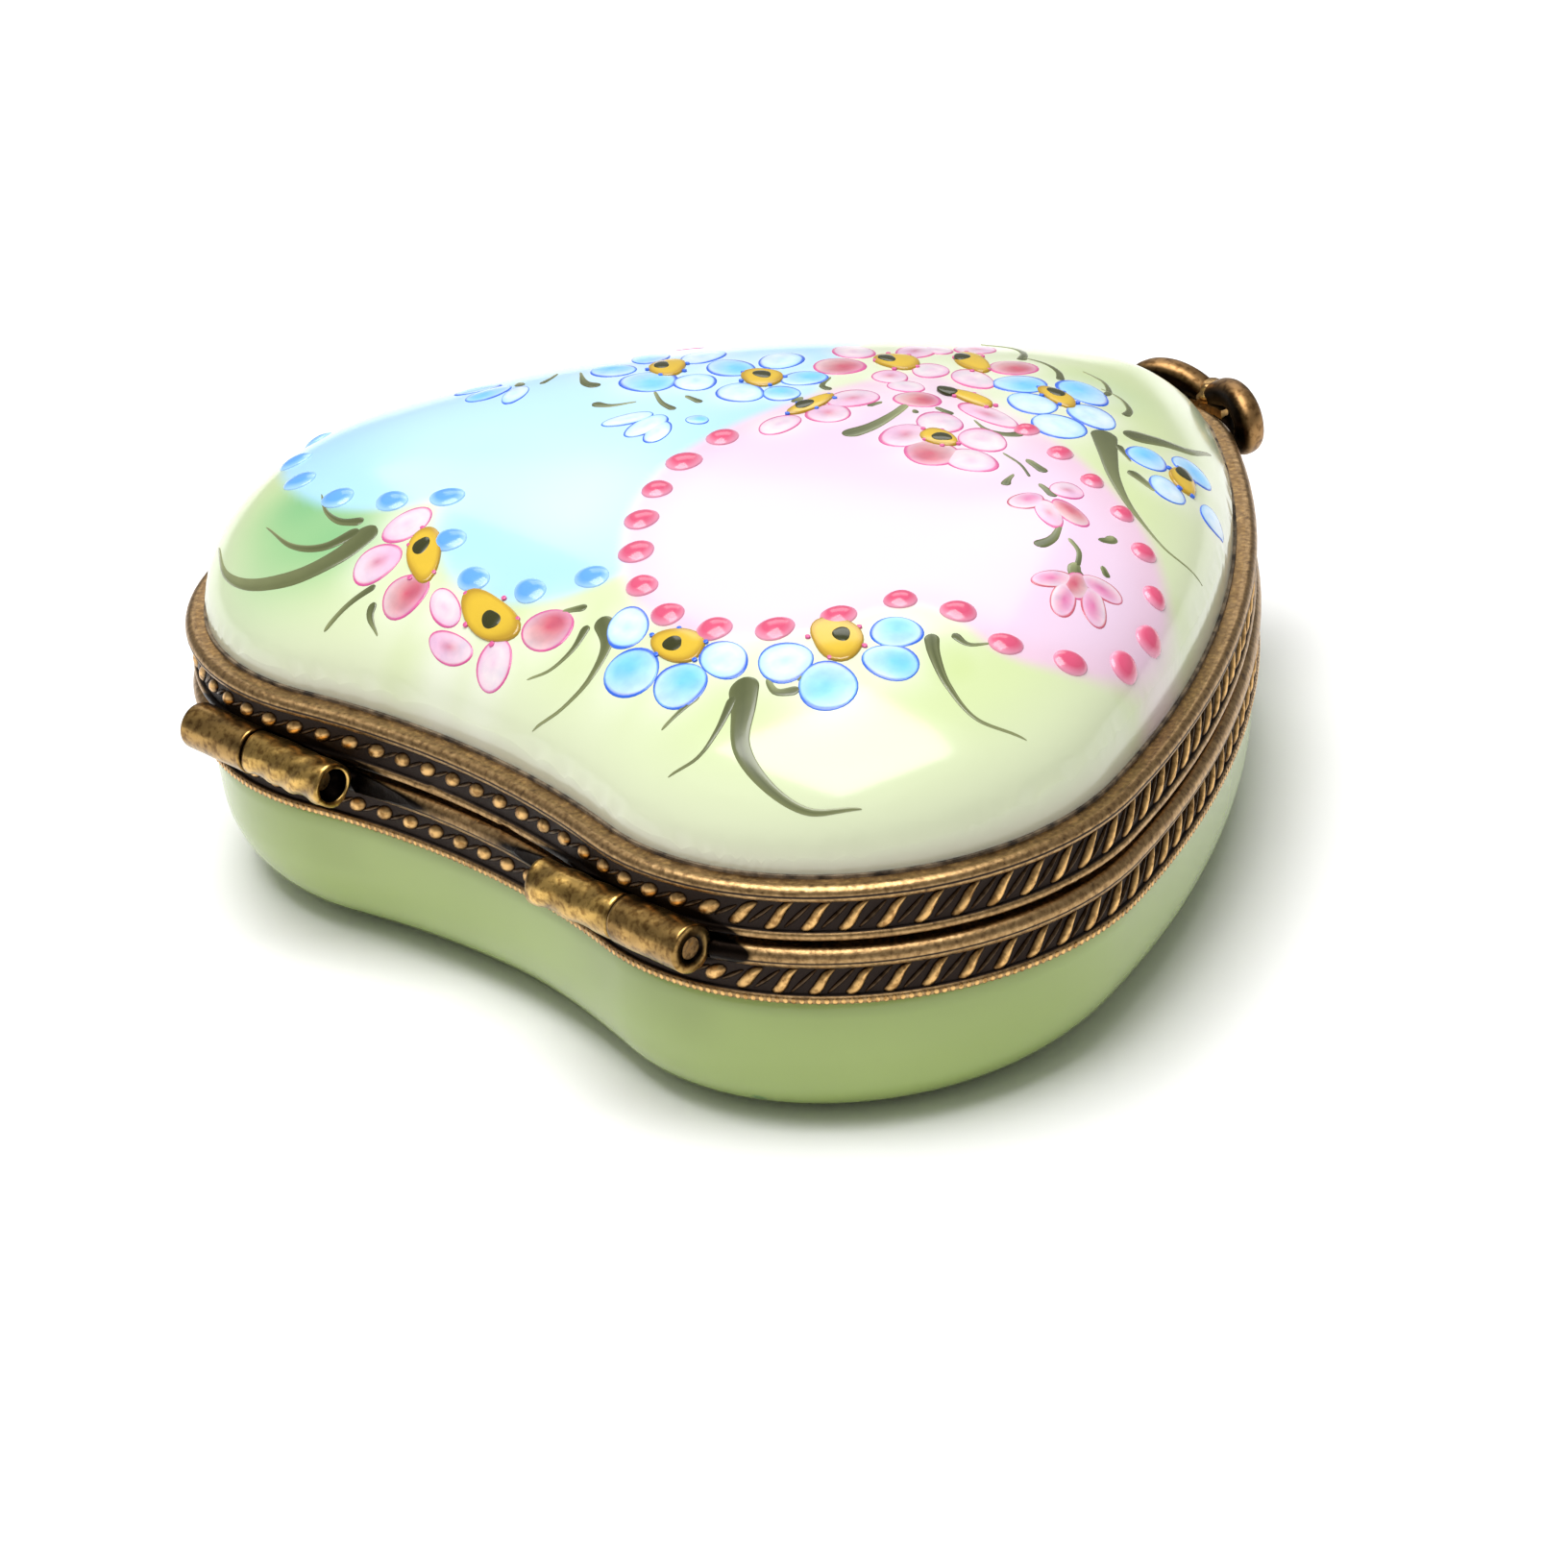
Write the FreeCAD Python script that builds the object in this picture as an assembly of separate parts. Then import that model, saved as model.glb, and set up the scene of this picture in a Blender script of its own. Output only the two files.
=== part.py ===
import FreeCAD, Part
import math
import os

# Heart-shaped porcelain trinket box with a hinged lid, in millimetres.
# +Z is up, the clasp is at the front (-Y) on the tip of the heart, and the hinge is at the rear (+Y)
# across the cleft. The origin is on the resting plane, below the middle of the bounding box.

Vector = FreeCAD.Vector
UP = Vector(0, 0, 1)
ALONG_X = Vector(1, 0, 0)

# ---- heart outline: the outer face of the metal mounts, seen from above
heart_width = 52.5
heart_length = 47.7
lobe_radius = 13.25
tip_radius = 6.6
side_radius = 59.5
cleft_radius = 48.5

# ---- base, from the resting plane up
base_height = 9.5
base_face_inset = 0.4
base_corner_radius = 4.5
floor_thickness = 2.4
cavity_corner_radius = 2.0
foot_ring_width = 1.4
foot_recess_depth = 0.4

# ---- lid
lid_gap = 0.35
dome_rise = 10.15
crown_radius = 120.0
crown_middle_forward = 0.5
dome_shoulder_radius = 5.4
hollow_shoulder_radius = 3.4
lid_thickness = 1.75

# ---- porcelain rims and the cement that holds the mounts on them
rim_inset = 0.95
rim_thickness = 1.75
cement_thickness = 0.15
lid_cement_proud = 0.15

# ---- mounts: a plain folded channel with a patterned gallery strip soldered round it
sheet_thickness = 0.4
channel_lip_height = 1.6
strip_floor_depth = 0.25
bead_depth = 0.4
lid_edge_bead = 0.45
lid_strip_floor = 1.4
lid_top_bead = 0.75
base_edge_bead = 1.0
base_strip_floor = 1.25
base_bottom_bead = 0.45

# ---- hinge: two pairs of knuckles on one axis, the lid's outside and the base's inside.
# Their ends along X are shares of the distance from the middle to a lobe's centre.
knuckle_radius = 1.03
knuckle_bore_radius = 0.5
pin_running_clearance = 0.04
hinge_axis_behind_lobes = 0.3
hinge_axis_below_base_top = 0.05
hinge_inner_share = 0.546
hinge_joint_share = 0.962
hinge_outer_share = 1.3
knuckle_end_gap = 0.12
knuckle_clearance = 0.12
trough_radius = 1.45
pin_inner_recess = 0.9
pin_outer_recess = 0.15

# ---- clasp on the tip of the heart
tongue_width = 2.6
tongue_thickness = 0.4
tongue_stand_off = 0.75
tongue_above_pad = 0.5
tongue_drop = 2.2
hook_depth = 0.3
hook_height = 0.4
catch_radius = 0.55
catch_clearance = 0.05
catch_room = 2.0
bow_loop_length = 3.8
bow_loop_height = 4.0
bow_ribbon_thickness = 1.0
bow_ribbon_width = 1.2
bow_sweep_back = 24.0
bow_middle_rise = 2.25
ribbon_edge_share = 0.3
knot_radius = 0.85
knot_height = 2.0
knot_cover_share = 0.7
knot_end_share = 0.6

# ---- levels and offsets that follow from the sizes above
lid_bottom = base_height + lid_gap
dome_top = lid_bottom + dome_rise
bow_middle_height = lid_bottom + bow_middle_rise
base_mount_height = base_edge_bead + base_strip_floor + base_bottom_bead
lid_mount_height = lid_edge_bead + lid_strip_floor + lid_top_bead
base_mount_bottom = base_height - base_mount_height
wall_inner = rim_inset - cement_thickness
wall_outer = wall_inner - sheet_thickness
lip_outer = rim_inset + rim_thickness + cement_thickness / 2
lip_inner = lip_outer + sheet_thickness
rim_setback = sheet_thickness + cement_thickness
cavity_inset = rim_inset + rim_thickness

# ---- places along Y: the bounding box runs from the bow's front face to the back of the knuckles
tongue_front = tongue_stand_off + tongue_thickness
front_reach = heart_length - lobe_radius + tongue_front + bow_ribbon_width
rear_reach = lobe_radius + hinge_axis_behind_lobes + knuckle_radius
lobe_y = (front_reach - rear_reach) / 2
tip_y = lobe_y + lobe_radius - heart_length
hinge_y = lobe_y + lobe_radius + hinge_axis_behind_lobes
hinge_z = base_height - hinge_axis_below_base_top

# ---- places along X
lobe_x = heart_width / 2 - lobe_radius
hinge_inner_end = lobe_x * hinge_inner_share
hinge_joint = lobe_x * hinge_joint_share
hinge_outer_end = lobe_x * hinge_outer_share

TOLERANCE = 0.01


def direction(start, end):
    """Angle in degrees of the line from one centre to another."""
    return math.degrees(math.atan2(end[1] - start[1], end[0] - start[0]))


def heart_arcs():
    """The outline as tangent arcs, anticlockwise from the tip: centre, radius, angles, convex."""
    lobe = (lobe_x, lobe_y)
    tip = (0.0, tip_y + tip_radius)
    span = math.dist(lobe, tip)
    to_lobe = side_radius - lobe_radius
    to_tip = side_radius - tip_radius
    along = (span ** 2 + to_lobe ** 2 - to_tip ** 2) / (2 * span)
    across = math.sqrt(to_lobe ** 2 - along ** 2)
    step = ((tip[0] - lobe[0]) / span, (tip[1] - lobe[1]) / span)
    side = (lobe[0] + step[0] * along + step[1] * across, lobe[1] + step[1] * along - step[0] * across)
    cleft = (0.0, lobe_y + math.sqrt((cleft_radius + lobe_radius) ** 2 - lobe_x ** 2))
    at_tip = direction(side, tip)
    at_lobe = direction(side, lobe)
    at_cleft = direction(lobe, cleft)
    return [
        (tip, tip_radius, -180 - at_tip, at_tip, True),
        (side, side_radius, at_tip, at_lobe, True),
        (lobe, lobe_radius, at_lobe, at_cleft, True),
        (cleft, cleft_radius, at_cleft - 180, -at_cleft, False),
        ((-lobe[0], lobe[1]), lobe_radius, 180 - at_cleft, 180 - at_lobe, True),
        ((-side[0], side[1]), side_radius, 180 - at_lobe, 180 - at_tip, True),
    ]


def polar(centre, radius, degrees, z):
    angle = math.radians(degrees)
    return Vector(centre[0] + radius * math.cos(angle), centre[1] + radius * math.sin(angle), z)


def heart_prism(inset, bottom, top):
    """Heart block whose sides stand a given distance inside the outline."""
    edges = []
    for centre, radius, first, last, convex in heart_arcs():
        r = radius - inset if convex else radius + inset
        ends = [polar(centre, r, angle, bottom) for angle in (first, (first + last) / 2, last)]
        edges.append(Part.Arc(*ends).toShape())
    return Part.Face(Part.Wire(edges)).extrude(Vector(0, 0, top - bottom))


def section_face(section, to_point):
    """Face from (inset, height) points; a point marked "mid" is the middle of an arc."""
    edges = []
    index = 0
    closed = section + [section[0]]
    while index < len(section):
        here = to_point(closed[index])
        ahead = to_point(closed[index + 1])
        if len(closed[index + 1]) == 3:
            edges.append(Part.Arc(here, ahead, to_point(closed[index + 2])).toShape())
            index += 2
        else:
            edges.append(Part.LineSegment(here, ahead).toShape())
            index += 1
    return Part.Face(Part.Wire(edges))


def turned(section, arc, first, last):
    """The section turned about one arc's centre, between two angles."""
    centre, radius, _, _, convex = arc
    sign = -1 if convex else 1
    face = section_face(section, lambda p: Vector(radius + sign * p[0], 0, p[1]))
    start = min(first, last)
    solid = face.revolve(Vector(0, 0, 0), UP, abs(last - first))
    solid.rotate(Vector(0, 0, 0), UP, start)
    solid.translate(Vector(centre[0], centre[1], 0))
    return solid


def around_heart(section):
    """A ring with the same section all round the heart."""
    pieces = [turned(section, arc, arc[2], arc[3]) for arc in heart_arcs()]
    return pieces[0].multiFuse(pieces[1:]).removeSplitter()


def from_level(section, level, upward):
    """A section drawn from a mating face at height zero, set at its real level."""
    sign = 1 if upward else -1
    return [(p[0], level + sign * p[1]) + p[2:] for p in section]


def bead(low, high):
    """Round bead on the outside of a strip: the arc's middle and its far end."""
    depth = min(bead_depth, (high - low) / 2)
    return [(strip_floor_depth - depth, (low + high) / 2, "mid"), (strip_floor_depth, high)]


def strip_section(edge_bead, floor, far_bead):
    """Gallery strip: an edge bead, a sunk floor for the leaf pattern, and a far bead."""
    top = edge_bead + floor + far_bead
    outside = [(strip_floor_depth, 0)] + bead(0, edge_bead)
    outside += [(strip_floor_depth, edge_bead + floor)] + bead(edge_bead + floor, top)
    return outside + [(wall_outer, top), (wall_outer, 0)]


def channel_section(height):
    """Folded sheet channel that wraps the porcelain rim, with its mating face at height zero."""
    return [
        (wall_outer, 0), (wall_outer, height), (wall_inner, height), (wall_inner, sheet_thickness),
        (lip_outer, sheet_thickness), (lip_outer, channel_lip_height), (lip_inner, channel_lip_height),
        (lip_inner, 0),
    ]


def cement_section(height):
    """Cement between the channel and the porcelain rim, outside the rim and over its edge."""
    return [
        (wall_inner, sheet_thickness), (wall_inner, height), (rim_inset, height),
        (rim_inset, rim_setback), (cavity_inset, rim_setback),
        (cavity_inset, channel_lip_height - cement_thickness),
        (lip_outer, channel_lip_height - cement_thickness), (lip_outer, sheet_thickness),
    ]


def base_shell():
    rim_top = base_height - rim_setback
    body = heart_prism(base_face_inset, 0, base_mount_bottom)
    bottom_edges = [e for e in body.Edges if e.BoundBox.ZMax < TOLERANCE]
    body = body.makeFillet(base_corner_radius, bottom_edges)
    body = body.fuse(heart_prism(rim_inset, base_corner_radius, rim_top)).removeSplitter()
    cavity = heart_prism(cavity_inset, floor_thickness, base_height)
    floor_edges = [e for e in cavity.Edges if e.BoundBox.ZMax < floor_thickness + TOLERANCE]
    cavity = cavity.makeFillet(cavity_corner_radius, floor_edges)
    ring_inset = base_face_inset + base_corner_radius + foot_ring_width
    recess = heart_prism(ring_inset, -1, foot_recess_depth)
    return body.cut(cavity).cut(recess)


def dome(inset, top, shoulder):
    """Solid heart under a crowned top with a rounded shoulder."""
    low = -dome_top
    block = heart_prism(inset, low, dome_top + 1)
    centre = Vector(0, lobe_y - crown_middle_forward, top - crown_radius)
    crown = Part.makeSphere(crown_radius, centre, ALONG_X)
    block = block.common(crown)
    crown_edges = [e for e in block.Edges if e.BoundBox.ZMin > low + 1]
    return block.makeFillet(shoulder, crown_edges)


def lid_shell():
    outer = dome(rim_inset, dome_top, dome_shoulder_radius)
    inner = dome(rim_inset + rim_thickness, dome_top - lid_thickness, hollow_shoulder_radius)
    shell = outer.cut(inner)
    rim_bottom = lid_bottom + rim_setback
    keep = heart_prism(0, rim_bottom, dome_top + 1)
    return shell.common(keep)


def rod(radius, start, end):
    """Cylinder on the hinge axis between two places along X."""
    low, high = min(start, end), max(start, end)
    return Part.makeCylinder(radius, high - low, Vector(low, hinge_y, hinge_z), ALONG_X)


def clear_of_hinge(ring, own_ends, other_ends, middle_radius):
    """Cuts the seats of a mount's own knuckles, the room for the other pair, and the trough."""
    for side in (-1, 1):
        ring = ring.cut(rod(knuckle_radius, side * own_ends[0], side * own_ends[1]))
        ring = ring.cut(rod(knuckle_radius + knuckle_clearance, side * other_ends[0], side * other_ends[1]))
    if middle_radius:
        ring = ring.cut(rod(middle_radius, -hinge_inner_end, hinge_inner_end))
    return ring


LID_SEAT = (hinge_joint + knuckle_end_gap, hinge_outer_end)
BASE_SEAT = (hinge_inner_end, hinge_joint)
LID_ROOM = (hinge_joint, hinge_outer_end + knuckle_clearance)
BASE_ROOM = (hinge_inner_end - knuckle_clearance, hinge_joint + knuckle_end_gap)


def base_ring(section):
    ring = around_heart(from_level(section, base_height, upward=False))
    return clear_of_hinge(ring, BASE_SEAT, LID_ROOM, trough_radius)


def lid_ring(section):
    ring = around_heart(from_level(section, lid_bottom, upward=True))
    return clear_of_hinge(ring, LID_SEAT, BASE_ROOM, None)


def knuckle(ends, bore_radius, side):
    tube = rod(knuckle_radius, side * ends[0], side * ends[1])
    return tube.cut(rod(bore_radius, side * ends[0], side * ends[1]))


def pin(side):
    inner = hinge_inner_end + pin_inner_recess
    outer = hinge_outer_end - pin_outer_recess
    return rod(knuckle_bore_radius, side * inner, side * outer)


def at_tip(section, width):
    """A section swept round the tip of the heart over a given width."""
    half = math.degrees(math.asin(width / 2 / tip_radius))
    return turned(section, heart_arcs()[0], -90 - half, -90 + half)


def clasp_tongue():
    """Springy strip soldered to the lid's gallery strip, with a hook that passes below the catch."""
    back = -tongue_stand_off
    front = -tongue_front
    pad_bottom = lid_bottom + lid_edge_bead
    pad_top = pad_bottom + lid_strip_floor
    top = pad_top + tongue_above_pad
    bottom = base_height - tongue_drop
    section = [
        (front, bottom), (back + hook_depth, bottom), (back + hook_depth, bottom + hook_height),
        (back, bottom + hook_height), (back, pad_bottom), (strip_floor_depth, pad_bottom),
        (strip_floor_depth, pad_top), (back, pad_top), (back, top), (front, top),
    ]
    return at_tip(section, tongue_width)


def catch_bead():
    """Round bead soldered on the base's gallery strip, just clear of the hook's path."""
    reach = tongue_stand_off - hook_depth - catch_clearance
    bottom = base_height - base_edge_bead - base_strip_floor
    middle = Vector(0, tip_y - reach + catch_radius, bottom + base_strip_floor / 2)
    ball = Part.makeSphere(catch_radius, middle)
    top = base_height - base_edge_bead
    room = [(strip_floor_depth, bottom), (-catch_room, bottom), (-catch_room, top), (strip_floor_depth, top)]
    return ball.common(at_tip(room, 2 * tongue_width))


def ellipse_prism(length, height, thickness):
    """Upright elliptical block: length along X, height along Z, thickness along Y."""
    major, minor = max(length, height) / 2, min(length, height) / 2
    curve = Part.Ellipse(Vector(0, 0, 0), major, minor)
    face = Part.Face(Part.Wire([curve.toShape()]))
    if height > length:
        face.rotate(Vector(0, 0, 0), UP, 90)
    face.rotate(Vector(0, 0, 0), ALONG_X, 90)
    block = face.extrude(Vector(0, -thickness, 0))
    return block


def bow_loop(side):
    """One ribbon loop, open through the middle, turned back from the knot."""
    outer = ellipse_prism(bow_loop_length, bow_loop_height, bow_ribbon_width)
    hole = ellipse_prism(bow_loop_length - 2 * bow_ribbon_thickness,
                         bow_loop_height - 2 * bow_ribbon_thickness, bow_ribbon_width)
    loop = outer.cut(hole)
    loop = loop.makeFillet(bow_ribbon_thickness * ribbon_edge_share, loop.Edges)
    loop.translate(Vector(bow_loop_length / 2 + knot_radius * knot_cover_share, 0, 0))
    if side < 0:
        loop = loop.mirror(Vector(0, 0, 0), ALONG_X)
    loop.rotate(Vector(0, 0, 0), UP, side * bow_sweep_back)
    loop.translate(Vector(0, tip_y - tongue_front, bow_middle_height))
    return loop


def bow_knot():
    """Barrel-shaped knot that covers the inner ends of both loops."""
    barrel = Part.makeCylinder(knot_radius, knot_height, Vector(0, 0, -knot_height / 2), UP)
    rims = [e for e in barrel.Edges if e.BoundBox.ZLength < TOLERANCE]
    barrel = barrel.makeFillet(knot_radius * knot_end_share, rims)
    barrel.translate(Vector(0, tip_y - tongue_front - bow_ribbon_width + knot_radius, bow_middle_height))
    return barrel


def build():
    base_strip = strip_section(base_edge_bead, base_strip_floor, base_bottom_bead)
    lid_strip = strip_section(lid_edge_bead, lid_strip_floor, lid_top_bead)
    tongue = clasp_tongue()
    knot = bow_knot().cut(tongue)
    nodes = {
        "base_shell": base_shell(),
        "base_rim_channel": base_ring(channel_section(base_mount_height)),
        "base_gallery_strip": base_ring(base_strip),
        "base_cement": base_ring(cement_section(base_mount_height)),
        "lid_shell": lid_shell(),
        "lid_rim_channel": lid_ring(channel_section(lid_mount_height)),
        "lid_gallery_strip": lid_ring(lid_strip),
        "lid_cement": lid_ring(cement_section(lid_mount_height + lid_cement_proud)),
        "clasp_tongue": tongue,
        "clasp_catch_bead": catch_bead(),
        "clasp_bow_knot": knot,
    }
    for name, side in (("left", -1), ("right", 1)):
        running_bore = knuckle_bore_radius + pin_running_clearance
        nodes["base_knuckle_" + name] = knuckle(BASE_SEAT, knuckle_bore_radius, side)
        nodes["lid_knuckle_" + name] = knuckle(LID_SEAT, running_bore, side)
        nodes["hinge_pin_" + name] = pin(side)
        nodes["clasp_bow_loop_" + name] = bow_loop(side).cut(knot).cut(tongue)
    return nodes


os.makedirs("parts", exist_ok=True)
for node_name, shape in build().items():
    shape.exportStep("parts/" + node_name + ".step")
    print(node_name, len(shape.Solids), shape.isValid())
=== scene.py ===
import bpy
import math
import random
import numpy as np
from mathutils import Matrix, Vector
from mathutils.kdtree import KDTree


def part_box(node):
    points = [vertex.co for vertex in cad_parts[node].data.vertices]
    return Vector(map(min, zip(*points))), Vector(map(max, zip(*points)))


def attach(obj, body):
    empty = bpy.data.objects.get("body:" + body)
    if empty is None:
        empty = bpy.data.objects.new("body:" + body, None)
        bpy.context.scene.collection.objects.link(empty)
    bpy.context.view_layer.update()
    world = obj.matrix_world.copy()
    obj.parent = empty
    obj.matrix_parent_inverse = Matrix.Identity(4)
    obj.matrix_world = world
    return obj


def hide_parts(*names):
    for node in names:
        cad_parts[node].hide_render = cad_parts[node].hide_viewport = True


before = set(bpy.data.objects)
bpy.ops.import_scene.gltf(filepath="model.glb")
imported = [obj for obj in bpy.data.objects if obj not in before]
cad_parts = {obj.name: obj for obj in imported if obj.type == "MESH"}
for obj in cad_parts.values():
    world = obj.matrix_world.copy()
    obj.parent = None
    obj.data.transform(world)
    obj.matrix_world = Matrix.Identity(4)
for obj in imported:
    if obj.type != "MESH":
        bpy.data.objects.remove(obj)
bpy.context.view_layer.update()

# The looks of the heart-shaped porcelain box. Lengths are in millimetres until a mesh is made.
# The lid's painting is laid out in plan, in the frame's x and y, and draped on the dome.

MM = 0.001
rng = random.Random(11)


def box_mm(node):
    low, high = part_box(node)
    return [v / MM for v in low], [v / MM for v in high]


# ---- the heart outline, from the lid's porcelain in the frame
RIM_INSET = 0.95
RIM_THICKNESS = 1.75
LOBE_RADIUS = 13.25
TIP_RADIUS = 6.6
SIDE_RADIUS = 59.5
CLEFT_RADIUS = 48.5
shell_low, shell_high = box_mm("lid_shell")
base_high = box_mm("base_shell")[1]
strip_low, strip_high = box_mm("base_gallery_strip")
lid_strip_low, lid_strip_high = box_mm("lid_gallery_strip")
knuckle_low, knuckle_high = box_mm("lid_knuckle_left")
HINGE_Y = (knuckle_low[1] + knuckle_high[1]) / 2
HINGE_Z = (knuckle_low[2] + knuckle_high[2]) / 2
HALF_WIDTH = shell_high[0] + RIM_INSET
LOBE_Y = shell_high[1] + RIM_INSET - LOBE_RADIUS
TIP_Y = shell_low[1] - RIM_INSET
HEART_MIDDLE = (0.0, 6.0)
OUTLINE_STEP = 0.3


def direction(start, end):
    return math.atan2(end[1] - start[1], end[0] - start[0])


def heart_arcs():
    """The outline as tangent arcs, anticlockwise from the tip: centre, radius, angles, convex."""
    lobe = (HALF_WIDTH - LOBE_RADIUS, LOBE_Y)
    tip = (0.0, TIP_Y + TIP_RADIUS)
    span = math.dist(lobe, tip)
    to_lobe = SIDE_RADIUS - LOBE_RADIUS
    to_tip = SIDE_RADIUS - TIP_RADIUS
    along = (span ** 2 + to_lobe ** 2 - to_tip ** 2) / (2 * span)
    across = math.sqrt(to_lobe ** 2 - along ** 2)
    step = ((tip[0] - lobe[0]) / span, (tip[1] - lobe[1]) / span)
    side = (lobe[0] + step[0] * along + step[1] * across, lobe[1] + step[1] * along - step[0] * across)
    cleft = (0.0, LOBE_Y + math.sqrt((CLEFT_RADIUS + LOBE_RADIUS) ** 2 - lobe[0] ** 2))
    at_tip = direction(side, tip)
    at_lobe = direction(side, lobe)
    at_cleft = direction(lobe, cleft)
    half = math.pi
    right = [(side, SIDE_RADIUS, at_tip, at_lobe, True), (lobe, LOBE_RADIUS, at_lobe, at_cleft, True)]
    left = [((-x, y), radius, half - last, half - first, True)
            for (x, y), radius, first, last, _ in reversed(right)]
    tip_arc = (tip, TIP_RADIUS, -half - at_tip, at_tip, True)
    cleft_arc = (cleft, CLEFT_RADIUS, at_cleft - half, -at_cleft, False)
    return [tip_arc, *right, cleft_arc, *left]


def heart_outline():
    """Points of the outline, their outward normals and their distance round it."""
    points, normals, lengths = [], [], []
    travelled = 0.0
    for centre, radius, first, last, convex in heart_arcs():
        length = radius * abs(last - first)
        count = max(4, round(length / OUTLINE_STEP))
        for index in range(count):
            angle = first + (last - first) * index / count
            outward = 1 if convex else -1
            unit = np.array([math.cos(angle), math.sin(angle)])
            points.append(np.array(centre) + radius * unit)
            normals.append(outward * unit)
            lengths.append(travelled + length * index / count)
        travelled += length
    return np.array(points), np.array(normals), np.array(lengths), travelled


OUTLINE, OUTWARD, ROUND, PERIMETER = heart_outline()
AROUND = len(OUTLINE)

outline_tree = KDTree(AROUND)
for index, (px, py) in enumerate(OUTLINE):
    outline_tree.insert((px, py, 0), index)
outline_tree.balance()


def depth_inside(x, y):
    """How far a point in plan is inside the outline."""
    found, index, distance = outline_tree.find((x, y, 0))
    outside = (x - found.x) * OUTWARD[index][0] + (y - found.y) * OUTWARD[index][1]
    return -distance if outside > 0 else distance


# ---- the dome: a crowned top that rolls over into the sides
CROWN_TOP = shell_high[2] - 0.15
CROWN_RADIUS_X = 350.0
CROWN_RADIUS_Y = 105.0
CROWN_MIDDLE_Y = 3.6
SHOULDER_WIDTH = 9.2
SHOULDER_DROP = 4.8
BLEND_START = 2.5
BLEND_WIDTH = 3.5
BLUR = 1.6
CELL = 0.25
REACH = 30.0


def smooth_step(value):
    value = np.clip(value, 0.0, 1.0)
    return value * value * (3 - 2 * value)


def blurred(field, sigma):
    """Gaussian blur of a square grid, in cells."""
    half = int(3 * sigma)
    weights = np.exp(-0.5 * (np.arange(-half, half + 1) / sigma) ** 2)
    weights /= weights.sum()
    for axis in (0, 1):
        spread = [(half, half) if a == axis else (0, 0) for a in (0, 1)]
        padded = np.pad(field, spread, "edge")
        field = np.apply_along_axis(lambda line: np.convolve(line, weights, "valid"), axis, padded)
    return field


ticks = np.arange(-REACH, REACH + CELL, CELL)
grid_x, grid_y = np.meshgrid(ticks, ticks)
depths = [depth_inside(x, y) for x, y in zip(grid_x.ravel(), grid_y.ravel())]
depth_grid = np.array(depths).reshape(grid_x.shape)


def dome_grid(inset, top, width, drop):
    """Heights of a dome whose sides stand a given distance inside the outline."""
    depth = depth_grid - inset
    share = np.clip(depth / width, 0, 1)
    fall = drop * (1 - np.sqrt(1 - (1 - share) ** 2))
    blend = smooth_step((depth - BLEND_START) / BLEND_WIDTH)
    fall = fall * (1 - blend) + blurred(fall, BLUR / CELL) * blend
    crown = grid_x ** 2 / (2 * CROWN_RADIUS_X) + (grid_y - CROWN_MIDDLE_Y) ** 2 / (2 * CROWN_RADIUS_Y)
    return top - crown - fall


def sample(grid, x, y):
    """Value of a grid between its cells."""
    column = (np.asarray(x, float) + REACH) / CELL
    row = (np.asarray(y, float) + REACH) / CELL
    i = np.clip(column.astype(int), 0, len(ticks) - 2)
    j = np.clip(row.astype(int), 0, len(ticks) - 2)
    a, b = column - i, row - j
    low = grid[j, i] * (1 - a) + grid[j, i + 1] * a
    high = grid[j + 1, i] * (1 - a) + grid[j + 1, i + 1] * a
    return low * (1 - b) + high * b


LID_INSIDE_INSET = RIM_INSET + RIM_THICKNESS
INSIDE_SHOULDER_WIDTH = SHOULDER_WIDTH - 2.2
INSIDE_SHOULDER_DROP = SHOULDER_DROP - 1.0
outer_dome = dome_grid(RIM_INSET, CROWN_TOP, SHOULDER_WIDTH, SHOULDER_DROP)
inner_dome = dome_grid(LID_INSIDE_INSET, CROWN_TOP - RIM_THICKNESS, INSIDE_SHOULDER_WIDTH,
                       INSIDE_SHOULDER_DROP)
PROBE = 0.3


def on_dome(x, y, lift=0.0):
    """Points on the dome, lifted along its normal."""
    x, y = np.asarray(x, float), np.asarray(y, float)
    slope_x = (sample(outer_dome, x + PROBE, y) - sample(outer_dome, x - PROBE, y)) / (2 * PROBE)
    slope_y = (sample(outer_dome, x, y + PROBE) - sample(outer_dome, x, y - PROBE)) / (2 * PROBE)
    normal = np.stack([-slope_x, -slope_y, np.ones_like(slope_x)], -1)
    normal /= np.linalg.norm(normal, axis=-1, keepdims=True)
    point = np.stack([x, y, sample(outer_dome, x, y)], -1)
    return point + normal * np.asarray(lift)[..., None]


# ---- colours, as display values from 0 to 255

def linear(colour):
    """Display colour to linear light, with alpha."""
    values = np.asarray(colour, float) / 255
    return np.append(np.where(values <= 0.04045, values / 12.92, ((values + 0.055) / 1.055) ** 2.4), 1.0)


WHITE_GLAZE = linear((232, 233, 224))
RIM_GLAZE = linear((206, 198, 186))
GREEN_WASH = linear((190, 208, 138))
MINT = linear((122, 180, 124))
PINK_FIELD = linear((224, 198, 220))
PINK_EDGE = linear((222, 190, 210))
BLUE_FIELD = linear((168, 214, 240))
BLUE_PALE = linear((182, 220, 242))
PINK_LINE = linear((212, 92, 148))
PINK_WASH = linear((228, 182, 208))
PINK_FILL = linear((200, 92, 110))
BLUE_LINE = linear((52, 104, 216))
BLUE_WASH = linear((120, 200, 252))
BLUE_WATER = linear((214, 236, 252))
GOLD = linear((214, 178, 52))
DARK_GOLD = linear((180, 142, 40))
EYE = linear((50, 52, 18))
LEAF = linear((80, 86, 50))
LEAF_PALE = linear((158, 164, 116))
PINK_DOT = linear((212, 84, 118))
PINK_DOT_EDGE = linear((232, 156, 182))
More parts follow.
